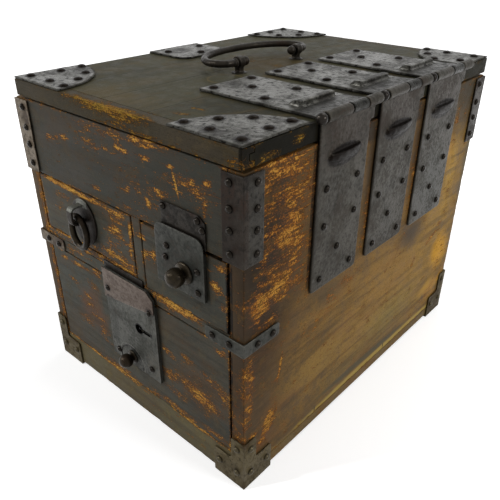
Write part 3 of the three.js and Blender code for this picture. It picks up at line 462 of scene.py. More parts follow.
@dataclass(frozen=True, kw_only=True)
class WoodFinish(Finish):
    """Lacquered or bare wood, worn through along its edges and in patches."""

    grain: Grain
    base: str
    second: str
    dark: str
    light: str
    deep: str = "5e3a17"
    orange: str = "a0641f"
    gold: str = "cc9636"
    rubbed: str = "5f4a2e"
    warm: str = "4c3a28"
    thin: float = 0.55
    banding: float = 0.6
    warming: float = 0.4
    grime: float = 0.3
    level: float = 0.08
    edge: float = 0.42
    edge_width: float = 4 * MM
    clump: float = 0.12
    halo: float = 0.6
    streak: Triple = (80.0, 300.0, 900.0)
    patches: tuple[Patch, ...] = ()
    seams: tuple[float, ...] = ()
    seam_wander: float = 6 * MM
    roughness: tuple[float, float] = (0.44, 0.74)
    sheen: float = 0.05
    shade: float = 0.94
    relief: float = 0.35 * MM

    def build(self, low: Vector, high: Vector) -> Material:
        """Makes the material for one board.

        Args:
            low: The board's lowest corner.
            high: Its highest corner.

        Returns:
            The material.
        """
        g = Graph(bpy.data.materials.new(self.name))
        scales = self.grain.scales
        along, across, fine = self.streak
        cloud = g.noise(9.0, 3, 0.5, shift=3.1)
        band = g.noise(scales(6, 85), 5, 0.62, 0.4)
        fleck = g.noise(scales(along, across), 6, 0.72, 0.3, 1.7)
        fibre = g.noise(scales(along, fine), 4, 0.6, shift=5.3)
        mottle = g.noise(60.0, 5, 0.66, shift=8.9)
        salt = g.noise(scales(420, 760), 4, 0.7, shift=2.2)
        warmth = g.noise(scales(14, 34), 5, 0.66, 0.5, 11.3)
        speck = g.noise(560.0, 3, 0.7, shift=13.7)

        cloudy = mottle * 0.9 + warmth * 0.9 + cloud * 0.5 - 1.15
        blurred = (mottle + (band - 0.5)).step(0.3, 0.7) - 0.5
        colour = g.mix(cloud.step(0.38, 0.62), paint(self.base), paint(self.second))
        colour = colour.stained([s for s in self.stains if s.rough > CRISP], cloudy).coats(
            (band, 0.45, 0.66, self.banding, self.dark),
            (mottle, 0.5, 0.68, 0.4, self.light),
            (fibre, 0.52, 0.7, 0.3, self.light),
            (salt, 0.48, 0.32, 0.5, self.dark),
            (speck, 0.47, 0.34, self.grime, self.dark),
            (warmth, 0.5, 0.64, self.warming, self.warm),
        )
        colour = colour.stained([s for s in self.stains if s.rough <= CRISP], cloudy)

        rim = g.edge_distance(low, high).step(self.edge_width, 0.0)
        rim = rim * mottle.step(0.42, 0.6, self.edge * 0.35, self.edge)
        wear = g.spots(self.patches, rim + self.level)
        colour = colour.coat((wear + blurred * 0.7).step(0.15, 1.0) * self.thin, self.rubbed)
        chance = (fleck * 0.44 + fibre * 0.18 + salt * 0.38) * (1 - self.clump) + mottle * self.clump
        chance = chance.step(0.39, 0.61)
        start = 1.0 - wear
        halo = chance.step(start - 0.4, start) * wear.step(0.12, 0.6)
        worn = chance.step(start - 0.06, start + 0.1)
        core = chance.step(start, start + 0.4)
        raw = g.mix(core.step(0.0, 0.45), paint(self.deep), paint(self.orange))
        raw = raw.coat((core * 0.7 + mottle * 0.9).step(0.8, 1.3), self.gold).coats(
            (fibre, 0.52, 0.38, 0.75, self.dark),
            (salt, 0.47, 0.36, 0.7, self.dark),
            (speck, 0.56, 0.68, 0.5, self.gold),
            (speck, 0.5, 0.38, 0.8, self.dark),
        )
        colour = colour.coat(halo * self.halo, self.deep).coat(worn, raw).circled(self.circles, blurred)

        height = fibre * 0.45 + band * 0.3 + salt * 0.25 - worn * 0.5
        for seam in self.seams:
            off = abs(g.axes(g.place)[0] - seam * MM + (cloud - 0.5) * self.seam_wander)
            line = off.step(*SEAM_LINE)
            colour = colour.coat(line * 0.7, SEAM)
            height = height - line
        smooth, rough = self.roughness
        gloss = mottle.step(0.35, 0.65, smooth, smooth + 0.12)
        return self.close(colour, gloss + worn * (rough - smooth - 0.06), height)


@dataclass(frozen=True, kw_only=True)
class IronFinish(Finish):
    """Forged iron with hammer marks, pits, rust and nails in dark rings."""

    dark: str
    mid: str
    light: str
    rust: str = "3a2c24"
    rusty: float = 0.3
    blotch: float = 0.3
    speckle: float = 0.35
    pits: float = 0.5
    pit_scale: float = 260.0
    nail: str = "2a2622"
    head: str = "2c2823"
    head_metal: float = 0.75
    nail_gloss: float = 0.2
    ring: float = 0.6
    # Laid along the sharp edges: lighter on most irons, as rubbed metal and a painted highlight; darker on the pale
    # irons, as painted shade.
    worn_edge_highlight_and_shade: str = "85827c"
    rim: float = 0.2
    dull_rim: float = 0.0
    metallic: float = 0.5
    brushed: Grain | None = None
    roughness: tuple[float, float] = (0.36, 0.58)
    sheen: float = 0.06
    shade: float = 0.56
    relief: float = 0.3 * MM

    def build(self) -> Material:
        """Makes the material.

        Returns:
            The material.
        """
        g = Graph(bpy.data.materials.new(self.name))
        hammer = g.noise(34.0, 3, 0.5, shift=2.3)
        patchy = g.noise(30.0, 6, 0.68, 0.4, 6.1)
        pit = g.noise(self.pit_scale, 5, 0.66, 0.2, 4.7)
        grit = g.noise(850.0, 3, 0.65)
        speckle = pit * 0.6 + grit * 0.4
        colour = g.mix(hammer.step(0.36, 0.64), paint(self.dark), paint(self.mid))
        colour = colour.coats(
            (patchy, 0.47, 0.62, self.blotch, self.light),
            (speckle, 0.5, 0.6, self.speckle, self.light),
        )
        if self.brushed is not None:
            stroke = g.noise(self.brushed.scales(18, 900), 3, 0.6, shift=9.7)
            colour = colour.coats((stroke, 0.45, 0.68, 0.4, self.light))
        crust = (1.0 - patchy) * 0.7 + pit * 0.3
        more = self.rusty * 0.08
        colour = colour.coats((crust, 0.56 - more, 0.62 - more, min(1.0, self.rusty * 1.6), self.rust))
        rim = g.attribute("rim")
        # Edges take a painted highlight with rubbed metal where this colour is light, and painted shade where it is
        # dark.
        colour = colour.coat(rim * patchy.step(0.4, 0.6, 0.2, 1.0) * self.rim, self.worn_edge_highlight_and_shade)
        blurred = speckle.step(0.4, 0.6) - 0.5
        colour = colour.stained(self.stains, blurred).circled(self.circles, blurred)
        hole = pit.step(0.45, 0.38)
        nail = g.attribute("nail")
        ring = (nail + (speckle - 0.5) * 1.6).step(0.1, 0.7)
        head = nail.step(0.86, 0.94)
        colour = colour.coat(hole * self.pits, PIT).coat(ring * self.ring, self.nail).coat(head, self.head)

        plain = 1.0 - head
        dull = rim * self.dull_rim
        roughness = (patchy * 0.5 + pit * 0.5).step(0.57, 0.43, *self.roughness)
        roughness = roughness * plain + head * self.nail_gloss + dull
        height = (pit * 0.8 + hammer * 0.4 + grit * 0.2) * (1.0 - head * 0.75)
        metallic = g.math("SUBTRACT", self.metallic - hole * (self.metallic * 0.6), dull * self.metallic, True)
        return self.close(colour, roughness, height, metallic * plain + head * self.head_metal)


@dataclass(frozen=True)
class Forging:
    """How an iron is worked. No step makes it larger, so it stays inside its frame."""

    voxel: float = 0.85 * MM
    rounds: int = 3
    dents: float = 0.45 * MM
    dent_size: float = 17 * MM
    pits: float = 0.22 * MM
    pit_size: float = 3.2 * MM
    nail_sides: int = 16


@dataclass(frozen=True)
class Nail:
    """A nail's head: the middle of its seat, its direction, radius and height."""

    seat: Vector
    out: Vector
    radius: float
    height: float


def half_noise(place: Vector) -> float:
    """A noise from 0 to 1."""
    return 0.5 + 0.5 * noise.noise(place)


def merged_copy(node: Object) -> BMesh:
    """A CAD node's mesh, copied, with its loose triangles joined.

    Args:
        node: The CAD node.

    Returns:
        The copy.
    """
    bm = bmesh.new()
    bm.from_mesh(node.data)
    bmesh.ops.remove_doubles(bm, verts=bm.verts, dist=WELD)
    return bm


def shade_smooth(bm: BMesh) -> None:
    """Shades all faces smooth."""
    for face in bm.faces:
        face.smooth = True


def bevel(bm: BMesh, edges: list, width: float, segments: int, clamp: bool = False) -> None:
    """Rounds edges over a width."""
    bmesh.ops.bevel(bm, geom=edges, offset=width, offset_type="OFFSET", affect="EDGES", segments=segments,
                    profile=0.5, material=-1, clamp_overlap=clamp)


def rod(bm: BMesh, radius: float, length: float, middle: Triple, sides: int) -> list[BMVert]:
    """Adds a rod along Y, and gives its points."""
    lay = Matrix.Translation(middle) @ Matrix.Rotation(math.pi / 2, 4, "X")
    return bmesh.ops.create_cone(bm, cap_ends=True, segments=sides, radius1=radius, radius2=radius, depth=length,
                                 matrix=lay)["verts"]


def mesh_object(name: str, bm: BMesh) -> Object:
    """An object made from a bmesh, which is freed.

    Args:
        name: The object's name.
        bm: Its mesh.

    Returns:
        The object, in the scene.
    """
    mesh = bpy.data.meshes.new(name)
    bm.to_mesh(mesh)
    bm.free()
    for layer in [a for a in mesh.attributes if a.name == "custom_normal"]:
        mesh.attributes.remove(layer)
    made = bpy.data.objects.new(name, mesh)
    bpy.context.scene.collection.objects.link(made)
    return made


def apply_modifiers(piece: Object) -> None:
    """Turns a piece's modifiers into its mesh."""
    bpy.context.view_layer.update()
    graph = bpy.context.evaluated_depsgraph_get()
    old = piece.data
    piece.data = bpy.data.meshes.new_from_object(piece.evaluated_get(graph))
    piece.data.name = piece.name
    piece.modifiers.clear()
    bpy.data.meshes.remove(old)


def find_nails(bm: BMesh, sides: int = 8) -> list[Nail]:
    """The domes of an iron, found by their poles.

    Args:
        bm: The iron's joined mesh.
        sides: Sides of a dome.

    Returns:
        Its nails.
    """
    share = math.cos(math.pi / 4)
    nails = []
    for v in bm.verts:
        if len(v.link_edges) != sides:
            continue
        ring = [e.other_vert(v).co for e in v.link_edges]
        middle = sum(ring, Vector()) / sides
        reach = [(p - middle).length for p in ring]
        drop = v.co - middle
        if drop.length > 0.4 * MM and max(reach) - min(reach) < 0.05 * max(reach):
            height = drop.length / (1 - share)
            out = drop.normalized()
            nails.append(Nail(v.co - out * height, out, max(reach) / share, height))
    return nails


def sharp_edges(bm: BMesh, nails: list[Nail]) -> list[tuple[Vector, Vector]]:
    """The outer edges of an iron, without those of its nails.

    Args:
        bm: The iron's joined mesh.
        nails: Its nails.

    Returns:
        The ends of each edge.
    """
    found = []
    for e in bm.edges:
        if len(e.link_faces) != 2 or e.calc_face_angle_signed(0) < SHARP:
            continue
        a, b = e.verts[0].co, e.verts[1].co
        if not any(((a + b) / 2 - n.seat).length < n.radius * 1.3 for n in nails):
            found.append((a.copy(), b.copy()))
    return found


def keep_numbers(mesh: Mesh, nails: list[Nail], edges: list[tuple[Vector, Vector]]) -> None:
    """Writes how near each point is to a nail and to an outer edge.

    Args:
        mesh: The iron's worked mesh.
        nails: Its nails.
        edges: Its outer edges.
    """
    places = np.zeros(len(mesh.vertices) * 3, np.float32)
    mesh.vertices.foreach_get("co", places)
    places = places.reshape(-1, 3)
    near_nail = np.zeros(len(places), np.float32)
    for nail in nails:
        away = np.linalg.norm(places - np.array(nail.seat, np.float32), axis=1)
        near_nail = np.maximum(near_nail, np.clip(1.7 - away / nail.radius, 0, 0.8))
    reach = 2.6 * MM
    nearest = np.full(len(places), reach * reach, np.float32)
    for a, b in edges:
        start = np.array(a, np.float32)
        run = np.array(b - a, np.float32)
        share = np.clip((places - start) @ run / max(float(run @ run), 1e-12), 0, 1)
        gap = places - start - share[:, None] * run
        nearest = np.minimum(nearest, np.einsum("ij,ij->i", gap, gap))
    for name, numbers in (("nail", near_nail), ("rim", 1 - np.sqrt(nearest) / reach)):
        layer = mesh.attributes.get(name) or mesh.attributes.new(name, "FLOAT", "POINT")
        layer.data.foreach_set("value", numbers.astype(np.float32))


def drive_nails(bm: BMesh, nails: list[Nail], sides: int) -> None:
    """Adds a fine dome over each nail, a little uneven, as if struck by hand.

    Args:
        bm: The iron's worked mesh, with its numbers.
        nails: Its nails.
        sides: Sides of a dome.
    """
    near_nail = bm.verts.layers.float["nail"]
    for nail in nails:
        key = nail.seat * 1000
        uneven = [noise.noise(key + Vector((s, s, s))) for s in (0.37, 11.3, 23.9)]
        large = nail.radius > LARGE_NAIL
        radius = nail.radius * ((0.94 if large else 1.14) + 0.06 * uneven[0])
        turn = nail.out.to_track_quat("Z", "Y").to_matrix().to_4x4()
        tilt = Euler((0.16 * uneven[1], 0.16 * uneven[2], 0)).to_matrix().to_4x4()
        height = nail.height * (0.8 if large else 0.98)
        size = Matrix.Diagonal((radius, radius * (1 + 0.08 * uneven[1]), height, 1))
        matrix = Matrix.Translation(nail.seat) @ turn @ tilt @ size
        dome = bmesh.ops.create_uvsphere(bm, u_segments=sides, v_segments=sides // 2 + 2, radius=1.0)["verts"]
        for v in dome:
            if v.co.z < 0:
                v.co.z *= 0.25
            v.co *= 1 - 0.06 * half_noise(v.co * 1.6 + key)
            v[near_nail] = 1.0
        bmesh.ops.transform(bm, matrix=matrix, verts=dome)


@dataclass
class Smithy:
    """Forges the irons from the frame's nodes."""

    nodes: dict[str, Object]

    def forge(self, node: str, work: Forging) -> Object:
        """A worked iron in the place of a CAD node.

        Args:
            node: The CAD node's name.
            work: How it is worked.

        Returns:
            The iron, with its nails.
        """
        bm = merged_copy(self.nodes[node])
        nails = find_nails(bm)
        edges = sharp_edges(bm, nails)
        piece = mesh_object(f"{node}_forged", bm)
        remesh = piece.modifiers.new("fine", "REMESH")
        remesh.mode = "VOXEL"
        remesh.voxel_size = work.voxel
        soften = piece.modifiers.new("soften", "SMOOTH")
        soften.factor = 0.5
        soften.iterations = work.rounds
        for name, depth, size in (("dents", work.dents, work.dent_size), ("pits", work.pits, work.pit_size)):
            cloud = bpy.data.textures.new(f"{node}_{name}", "CLOUDS")
            cloud.noise_scale = size
            cloud.noise_depth = 2
            beaten = piece.modifiers.new(name, "DISPLACE")
            beaten.texture = cloud
            beaten.texture_coords = "LOCAL"
            beaten.mid_level = 1.0
            beaten.strength = depth
        apply_modifiers(piece)
        keep_numbers(piece.data, nails, edges)
        bm = bmesh.new()
        bm.from_mesh(piece.data)
        drive_nails(bm, nails, work.nail_sides)
        shade_smooth(bm)
        bm.to_mesh(piece.data)
        bm.free()
        return piece


@dataclass(frozen=True)
class Planing:
    """How a board is worked: the softness of its edges, its chips and its waviness."""

    bevel: float = 1.1 * MM
    cell: float = 7 * MM
    chips: float = 0.9 * MM
    wave: float = 0.15 * MM


@dataclass
class Workshop:
    """Planes the boards from the frame's nodes."""

    nodes: dict[str, Object]

    def plane(self, node: str, work: Planing) -> Object:
        """A worked board in the place of a CAD node.

        Args:
            node: The CAD node's name.
            work: How it is worked.

        Returns:
            The board.
        """
        bm = merged_copy(self.nodes[node])
        bmesh.ops.dissolve_limit(bm, angle_limit=math.radians(1), verts=bm.verts, edges=bm.edges, delimit={"NORMAL"})
        low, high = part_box(node)
        for axis in range(3):
            extent = high[axis] - low[axis]
            steps = round(extent / work.cell)
            normal = Vector((0, 0, 0))
            normal[axis] = 1
            for i in range(1, steps):
                place = low.copy()
                place[axis] += extent * i / steps
                whole = bm.verts[:] + bm.edges[:] + bm.faces[:]
                bmesh.ops.bisect_plane(bm, geom=whole, plane_co=place, plane_no=normal, dist=WELD)
        arris = [e for e in bm.edges if len(e.link_faces) == 2 and e.calc_face_angle(0) > ARRIS]
        bevel(bm, arris, work.bevel, 3, True)
        bm.normal_update()
        for v in bm.verts:
            inside = sorted(min(v.co[i] - low[i], high[i] - v.co[i]) for i in range(3))
            depth = work.wave * half_noise(v.co * 24)
            if inside[1] < 2.2 * work.bevel:
                bite = noise.noise(v.co * 95) + 0.5 * noise.noise(v.co * 240)
                depth += work.chips * max(0.0, bite - 0.12)
            v.co -= v.normal * depth
        shade_smooth(bm)
        piece = mesh_object(f"{node}_planed", bm)
        weighted = piece.modifiers.new("normals", "WEIGHTED_NORMAL")
        weighted.keep_sharp = False
        apply_modifiers(piece)
        return piece


@dataclass
class Fitter:
    """Puts worked pieces in the place of the frame's nodes."""

    frame: dict
    smithy: Smithy = field(init=False)
    workshop: Workshop = field(init=False)
    slots: dict[str, str] = field(init=False)

    def __post_init__(self) -> None:
        """Reads the nodes and their material slots from the frame."""
        self.smithy = Smithy(self.frame["nodes"])
        self.workshop = Workshop(self.frame["nodes"])
        self.slots = {s["node"]: s["material_slot"] for s in self.frame["record"]["subparts"]}

    def fit(self, piece: Object, node: str, material: Material) -> None:
        """Dresses a piece and lets it stand for a node.

        Args:
            piece: The worked piece.
            node: The CAD node that it replaces.
            material: Its material.
        """
        piece.data.materials.clear()
        piece.data.materials.append(material)
        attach(piece, self.frame["nodes"][node]["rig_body"])
        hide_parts(node)
        LOG.info("%s: %d faces", piece.name, len(piece.data.polygons))

    def board(self, node: str, finish: WoodFinish, work: Planing = Planing()) -> None:
        """Planes, finishes and fits one board."""
        named = replace(finish, name=f"{finish.name}_{node}")
        self.fit(self.workshop.plane(node, work), node, named.build(*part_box(node)))

    def iron(self, node: str, material: Material, work: Forging = Forging()) -> None:
        """Forges, finishes and fits one iron."""
        self.fit(self.smithy.forge(node, work), node, material)


FRONT_LACQUER = WoodFinish(
    name="front_lacquer", grain=Grain.X, base="40413a", second="47443b", dark="262520", light="5a5646",
    deep="5c3b20", orange="a5692b", gold="cf9c47", thin=0.4, warming=0.3,
)
LID_LACQUER = WoodFinish(
    name="lid_lacquer", grain=Grain.Y, base="4a4836", second="424132", dark="25241b", light="625a42", gold="b58f3c",
    orange="8f621f", deep="4d3a20", rubbed="5c4f33", warm="5a4c30", banding=0.35, thin=0.35, level=0.0, edge=0.3,
    roughness=(0.38, 0.66), sheen=0.02, shade=0.63,
)
SIDE_LACQUER = WoodFinish(
    name="side_lacquer", grain=Grain.Y, base="574327", second="644c2a", dark="2c2218", light="775c33",
    deep="63391a", orange="935a22", gold="bd893c", rubbed="745729", warm="6d4620", warming=0.3, thin=0.5,
    banding=0.5, level=0.12, edge=0.2, clump=0.22, halo=0.4, grime=0.45, streak=(45.0, 190.0, 620.0),
    roughness=(0.44, 0.72),
)
BACK_LACQUER = replace(SIDE_LACQUER, name="back_lacquer", grain=Grain.X)
BARE_WOOD = WoodFinish(
    name="bare_wood", grain=Grain.Y, base="8c6d42", second="7f613a", dark="523c21", light="a58553", deep="6f5230",
    orange="957245", gold="ad8c5a", rubbed="8c6d42", level=0.0, edge=0.1, roughness=(0.66, 0.8),
)
UPPER_BOARD = replace(
    FRONT_LACQUER,
    patches=FRONT.worn(
        (-120, 342, 10, 5, 0.75), (-90, 350, 9, 5, 0.7), (-47, 356, 12, 4, 0.55), (16, 361, 16, 4.5, 0.75),
        (52, 361, 12, 4, 0.6), (88, 362, 9, 2.8, 1.1, 6), (93, 347, 1.9, 19, 1.5, 15), (-35, 352, 130, 9, 0.3, 6),
        (45, 325, 85, 32, 0.24), (120, 345, 40, 26, 0.3), (-30, 374, 60, 5, 0.5), (50, 375, 50, 6, 0.55),
        (-39, 304, 12, 5, 0.6), (19, 319, 7, 4, 0.6), (68, 330, 9, 6, 0.75, -30), (51, 313, 5, 9, 0.85, 20),
        (136, 359, 8, 5, 0.7), (131, 330, 4, 12, 0.55), (114, 356, 6, 4, 0.5), (15, 296, 60, 6, 0.3),
        (-14, 368, 90, 6, 0.3, 4), (100, 352, 50, 10, 0.3),
    ),
    base="353630", second="3b3831", light="4a463a", warming=0.2, edge=0.35,
)
BED_WEAR = FRONT.worn((0, 217, 34, 10, 0.4), (-80, 212, 60, 6, 0.15))
BED = replace(FRONT_LACQUER, level=0.32, edge=0.4, patches=BED_WEAR)
SHELF_WEAR = FRONT.worn((82, 203, 46, 7, 0.95), (82, 200, 60, 12, 0.3), (-110, 199, 60, 7, 0.35))
SHELF = replace(FRONT_LACQUER, patches=SHELF_WEAR, edge=0.35)
DIVIDER = replace(FRONT_LACQUER, patches=FRONT.worn((12, 262, 6, 24, 0.6), (30, 270, 12, 6, 0.4)))
RAIL_WEAR = FRONT.worn(
    (-20, 40, 150, 2.6, 0.5, -2), (-60, 44, 110, 4, 0.45), (110, 44, 60, 5, 0.5), (70, 20, 110, 3, 0.3, -3)
)
RAIL_OLIVE = replace(FRONT_LACQUER, base="655c42", second="5b543d", dark="413c2e", light="7d7048")
RAIL = replace(RAIL_OLIVE, patches=RAIL_WEAR, edge=0.4)
RIGHT_SIDE = replace(
    SIDE_LACQUER,
    patches=SIDE.worn(
        (-170, 300, 50, 100, 0.24, 0, True), (-172, 372, 44, 14, 0.5), (-156, 338, 40, 40, 0.26),
        (-168, 300, 36, 24, 0.42, 20), (-158, 268, 30, 12, 0.34, 20), (-180, 246, 46, 22, 0.4, 14),
        (-216, 238, 16, 26, 0.75), (-200, 205, 30, 20, 0.3), (-221, 150, 12, 40, 0.7), (-222, 112, 10, 30, 0.5),
        (-190, 70, 15, 32, 0.8, -26), (-172, 143, 3.4, 24, 0.95, -12), (-178, 126, 9, 8, 0.4),
        (-203, 50, 10, 16, 0.55, -35), (-228, 80, 4, 40, 0.5), (-216, 66, 8, 12, 0.5), (-60, 190, 60, 20, 0.26, 10),
        (-110, 168, 40, 20, 0.25), (124, 137, 5, 16, 0.5, -24), (172, 160, 24, 5, 0.7, 24),
        (196, 176, 14, 5, 0.55, 10), (216, 108, 26, 60, 0.2), (196, 48, 44, 14, 0.35, 14), (-24, 262, 12, 70, 0.4),
        (84, 262, 11, 70, 0.42), (188, 330, 10, 30, 0.35),
    ),
    # The side darkens towards the front and turns golden towards the back: worn lacquer, and partly painted light.
    stains=(
        *SIDE.stained(
            ("947136", (40, 120, 300, 190, 0.85), 1.2, 0.75), ("947230", (190, 190, 150, 240, 0.85), 1.2, 0.8),
            ("30291b", (216, 384, 80, 110, 0.92), 0.4, 0.7), ("4a4026", (252, 262, 20, 130, 0.85), 0.4, 0.6),
            ("8d7038", (-90, 100, 130, 70, 0.6), 1.0, 0.9), ("231b12", (-200, 306, 84, 190, 0.9), 0.4, 0.7),
            ("85793f", (70, 80, 120, 50, 0.5), 1.0, 0.9), ("c08c20", (212, 122, 40, 50, 0.95, 24), 0.4, 0.7),
            ("b58a30", (190, 70, 44, 16, 0.6, 24), 0.4, 0.9), ("ac8036", (180, 286, 24, 40, 0.6), 0.4, 0.9),
            ("bd8b33", (214, 60, 50, 26, 0.6, 20), 0.9, 0.7), ("b0892f", (200, 250, 22, 110, 0.5), 0.9, 0.7),
            ("33271b", (-215, 210, 90, 320, 0.85), 0.9, 0.9), ("40382a", (-90, 196, 70, 26, 0.6), 1.0, 0.8),
            ("352b20", (104, 196, 56, 34, 0.85), 0.4, 0.8),
        ),
        Stain("3b3024", Patch((169, -232, 140), (30, 5, 420), 0.9), 0.4),
        # Painted shade in the gap between the drawers and the side panel.
        Stain(GAP_SHADE, Patch((160, -232, 247), (4.6, 7, 46), 0.95, boxed=True), 0.2),
        Stain(GAP_SHADE, Patch((160, -232, 118), (3.2, 7, 76), 0.95, boxed=True), 0.2),
        *SIDE.stained(
            ("a38a42", (60, 21, 300, 9, 0.85), 0.4, 0.5), ("231c14", (24, 380, 190, 30, 0.9, 0, True), 0.4, 0.95),
            ("4a3a24", (-95, 140, 60, 26, 0.5), 1.0, 0.9), ("453823", (-45, 158, 46, 10, 0.5), 1.0, 0.8),
            ("5c5230", (0, 52, 200, 30, 0.55), 1.0, 0.9), ("3d3f33", (20, 34, 170, 8, 0.75, -2), 0.4),
            ("1d1a13", (-98, 23, 1.6, 7, 1.0), 0.2), ("1d1a13", (69, 24, 1.6, 6, 1.0), 0.2),
            # The 1b1510 line and the two 2c2114 bands are painted shadows beside the front edges of the three
            # straps.
            ("1b1510", (-130, 300, 4.5, 92, 0.9, 0, True), 0.3), ("2c2114", (-25, 320, 16, 120, 0.8), 0.4, 0.8),
            ("2c2114", (80, 320, 16, 120, 0.8), 0.4, 0.8), ("2c2013", (22, 222, 170, 12, 0.45), 0.8, 0.8),
        ),
    ),
)
LEFT_SIDE_WEAR = (
    Patch((-164, -232, 190), (6, 16, 210), 0.42, boxed=True),
    *LEFT.worn(
        (-190, 120, 50, 130, 0.26), (-205, 60, 30, 50, 0.3), (60, 330, 130, 40, 0.2), (225, 160, 26, 120, 0.28)
    ),
)
LEFT_SIDE_STAINS = (
    *LEFT.stained(
        ("8a6a36", (20, 130, 280, 190, 0.7), 1.2, 0.75), ("9a7636", (180, 170, 150, 240, 0.6), 1.2, 0.8),
        ("33291c", (10, 372, 300, 40, 0.6), 0.4, 0.8),
    ),
    Stain("332b20", Patch((-169, -232, 140), (30, 5, 420), 0.9), 0.4),
)
LEFT_SIDE = replace(SIDE_LACQUER, level=0.05, patches=LEFT_SIDE_WEAR, stains=LEFT_SIDE_STAINS)
BACK_PANEL_WEAR = BACK.worn((120, 110, 70, 90, 0.24), (-130, 60, 60, 40, 0.3), (20, 352, 150, 30, 0.2))
BACK_PANEL_STAINS = BACK.stained(
    ("86693a", (-20, 140, 250, 170, 0.7), 1.2, 0.8), ("33291c", (0, 370, 220, 36, 0.6), 0.4, 0.8)
)
BACK_PANEL = replace(BACK_LACQUER, patches=BACK_PANEL_WEAR, stains=BACK_PANEL_STAINS)
BOTTOM_WOOD = replace(SIDE_LACQUER, name="bottom_wood", base="6d5a34", level=0.15)
LID_PANEL = replace(
    LID_LACQUER,
    seams=(-98.0, -29.0, 44.0, 112.0),
    patches=(
        *LID.worn(
            (71, -197, 17, 7, 0.8, 10), (66, -176, 19, 3.4, 0.8, 10), (-42, 30, 14, 34, 0.42), (0, 24, 26, 30, 0.36),
            (20, 130, 40, 70, 0.2), (52, -216, 16, 8, 0.4),
        ),
        Patch((178, -158, 391), (7, 12, 7), 0.75),
        Patch((178, -196, 386), (7, 24, 7), 0.6),
    ),
    stains=(
        *LID.stained(
            ("4e3f24", (-12, 28, 80, 110, 0.75), 1.0, 0.9), ("665838", (-20, -200, 120, 50, 0.6), 1.0, 0.9),
            # Of these, 2a2920 and the two 24231b patches are dirt with painted shade round and between the hinge
            # leaves.
            ("57543f", (-110, 40, 70, 190, 0.5), 1.0, 0.9), ("2a2920", (110, -140, 100, 70, 0.85), 0.8, 0.8),
            ("24231b", (130, -30, 70, 30, 0.9), 0.5), ("24231b", (130, 76, 70, 30, 0.9), 0.5),
        ),
        Stain("16140f", Patch((181, -100, 388), (9, 160, 40), 0.95, boxed=True), 0.4, 0.9),
        Stain("24221b", Patch((181, 200, 388), (9, 160, 40), 0.85, boxed=True), 0.4, 0.9),
    ),
    circles=(Circle((5, -70, 400), 21, 1.3, "6f6144", 0.6, 1.6, (1.0, 1.0, 2.0)),),
)
LID_CLEAT = replace(
    LID_LACQUER,
    grain=Grain.X, base="524a3d", second="494336", light="6d5f48", orange="9c6420",
    thin=0.6, streak=(90.0, 420.0, 1100.0),
    stains=(
        Stain("16140f", Patch((179, -225, 388), (6, 40, 40), 0.92, boxed=True), 0.4, 0.9),
        Stain("24221b", Patch((179, 225, 388), (6, 40, 40), 0.85, boxed=True), 0.4, 0.9),
    ),
    patches=(
        *LID.worn((0, -226, 105, 13, 0.5), (14, -230, 62, 9, 0.45), (-60, -229, 50, 6, 0.3)),
        Patch((0, -231, 398), (90, 6, 8), 0.3),
        Patch((60, -231, 384), (120, 16, 5), 0.45),
        Patch((168, -231, 388), (16, 16, 10), 0.5),
        Patch((178, -216, 385), (12, 22, 9), 0.5),
    ),
)
LEFT_FRONT = replace(
    FRONT_LACQUER,
    patches=FRONT.worn(
        (-110, 286, 52, 4.5, 1.15), (-60, 284, 60, 4, 0.95), (-5, 283, 22, 5, 0.9), (14, 268, 3, 20, 0.95),
        (12, 240, 4, 30, 0.5), (-14, 262, 24, 8, 0.62), (-12, 275, 30, 9, 0.4), (-20, 240, 34, 16, 0.36),
        (-8, 254, 40, 5, 0.5, -6), (-20, 228, 50, 6, 0.5, -5), (4, 222, 24, 7, 0.5), (-112, 272, 22, 7, 0.4),
        (-125, 255, 26, 12, 0.28), (-158, 245, 4, 44, 0.5), (-60, 222, 70, 8, 0.4),
    ),
)
RIGHT_FRONT = replace(
    FRONT_LACQUER,
    patches=FRONT.worn(
        (40, 252, 12, 8, 0.72), (52, 254, 6, 12, 0.62), (36, 270, 8, 6, 0.45), (151, 279, 9, 7, 0.65),
        (142, 256, 15, 8, 0.72, -14), (151, 235, 8, 6, 0.7), (140, 265, 14, 24, 0.2),
    ),
    stains=(
        *FRONT.stained(("393a34", (110, 250, 90, 60, 0.7), 0.5)),
        # Painted shade in the gap beside the drawer.
        Stain(GAP_SHADE, Patch((159, -231, 245), (4.4, 12, 60), 0.95, boxed=True), 0.2),
        # Painted shade along the top gap of the drawer.
        Stain("0d0b08", Patch((140, -231, 289), (26, 12, 3), 0.95, boxed=True), 0.2),
    ),
    edge=0.38,
)
LOWER_FRONT = replace(
    FRONT_LACQUER,
    patches=FRONT.worn(
        (-136, 179, 12, 6, 0.8), (-100, 180, 34, 5, 0.75), (-64, 182, 14, 8, 0.75), (-76, 161, 18, 10, 0.4),
        (-66, 95, 16, 12, 0.62), (-95, 125, 26, 9, 0.46), (-104, 95, 24, 12, 0.46), (-118, 150, 22, 6, 0.4),
        (-78, 112, 18, 5, 0.58), (-92, 138, 16, 5, 0.5, -8), (-64, 82, 22, 5, 0.5, -8), (-40, 50, 60, 5, 0.5),
        (70, 52, 60, 7, 0.55), (135, 54, 30, 8, 0.55), (62, 132, 20, 8, 0.56, -8), (60, 98, 22, 13, 0.56, -6),
        (70, 76, 26, 7, 0.5, -6), (94, 140, 16, 6, 0.5, -10), (131, 129, 26, 7, 0.5, -12),
        (104, 100, 36, 12, 0.55, -8), (128, 92, 26, 12, 0.55), (150, 119, 10, 22, 0.5), (145, 178, 18, 9, 0.5),
        (110, 100, 60, 60, 0.2),
    ),
    stains=(
        # Painted shade in the gap beside the drawer.
        Stain(GAP_SHADE, Patch((159.5, -231, 118), (3, 12, 90), 0.95, boxed=True), 0.2),
        *FRONT.stained(("63412a", (-84, 122, 46, 50, 0.6), 0.9), ("5c4127", (112, 105, 60, 46, 0.5), 0.9)),
    ),
    edge=0.4,
)


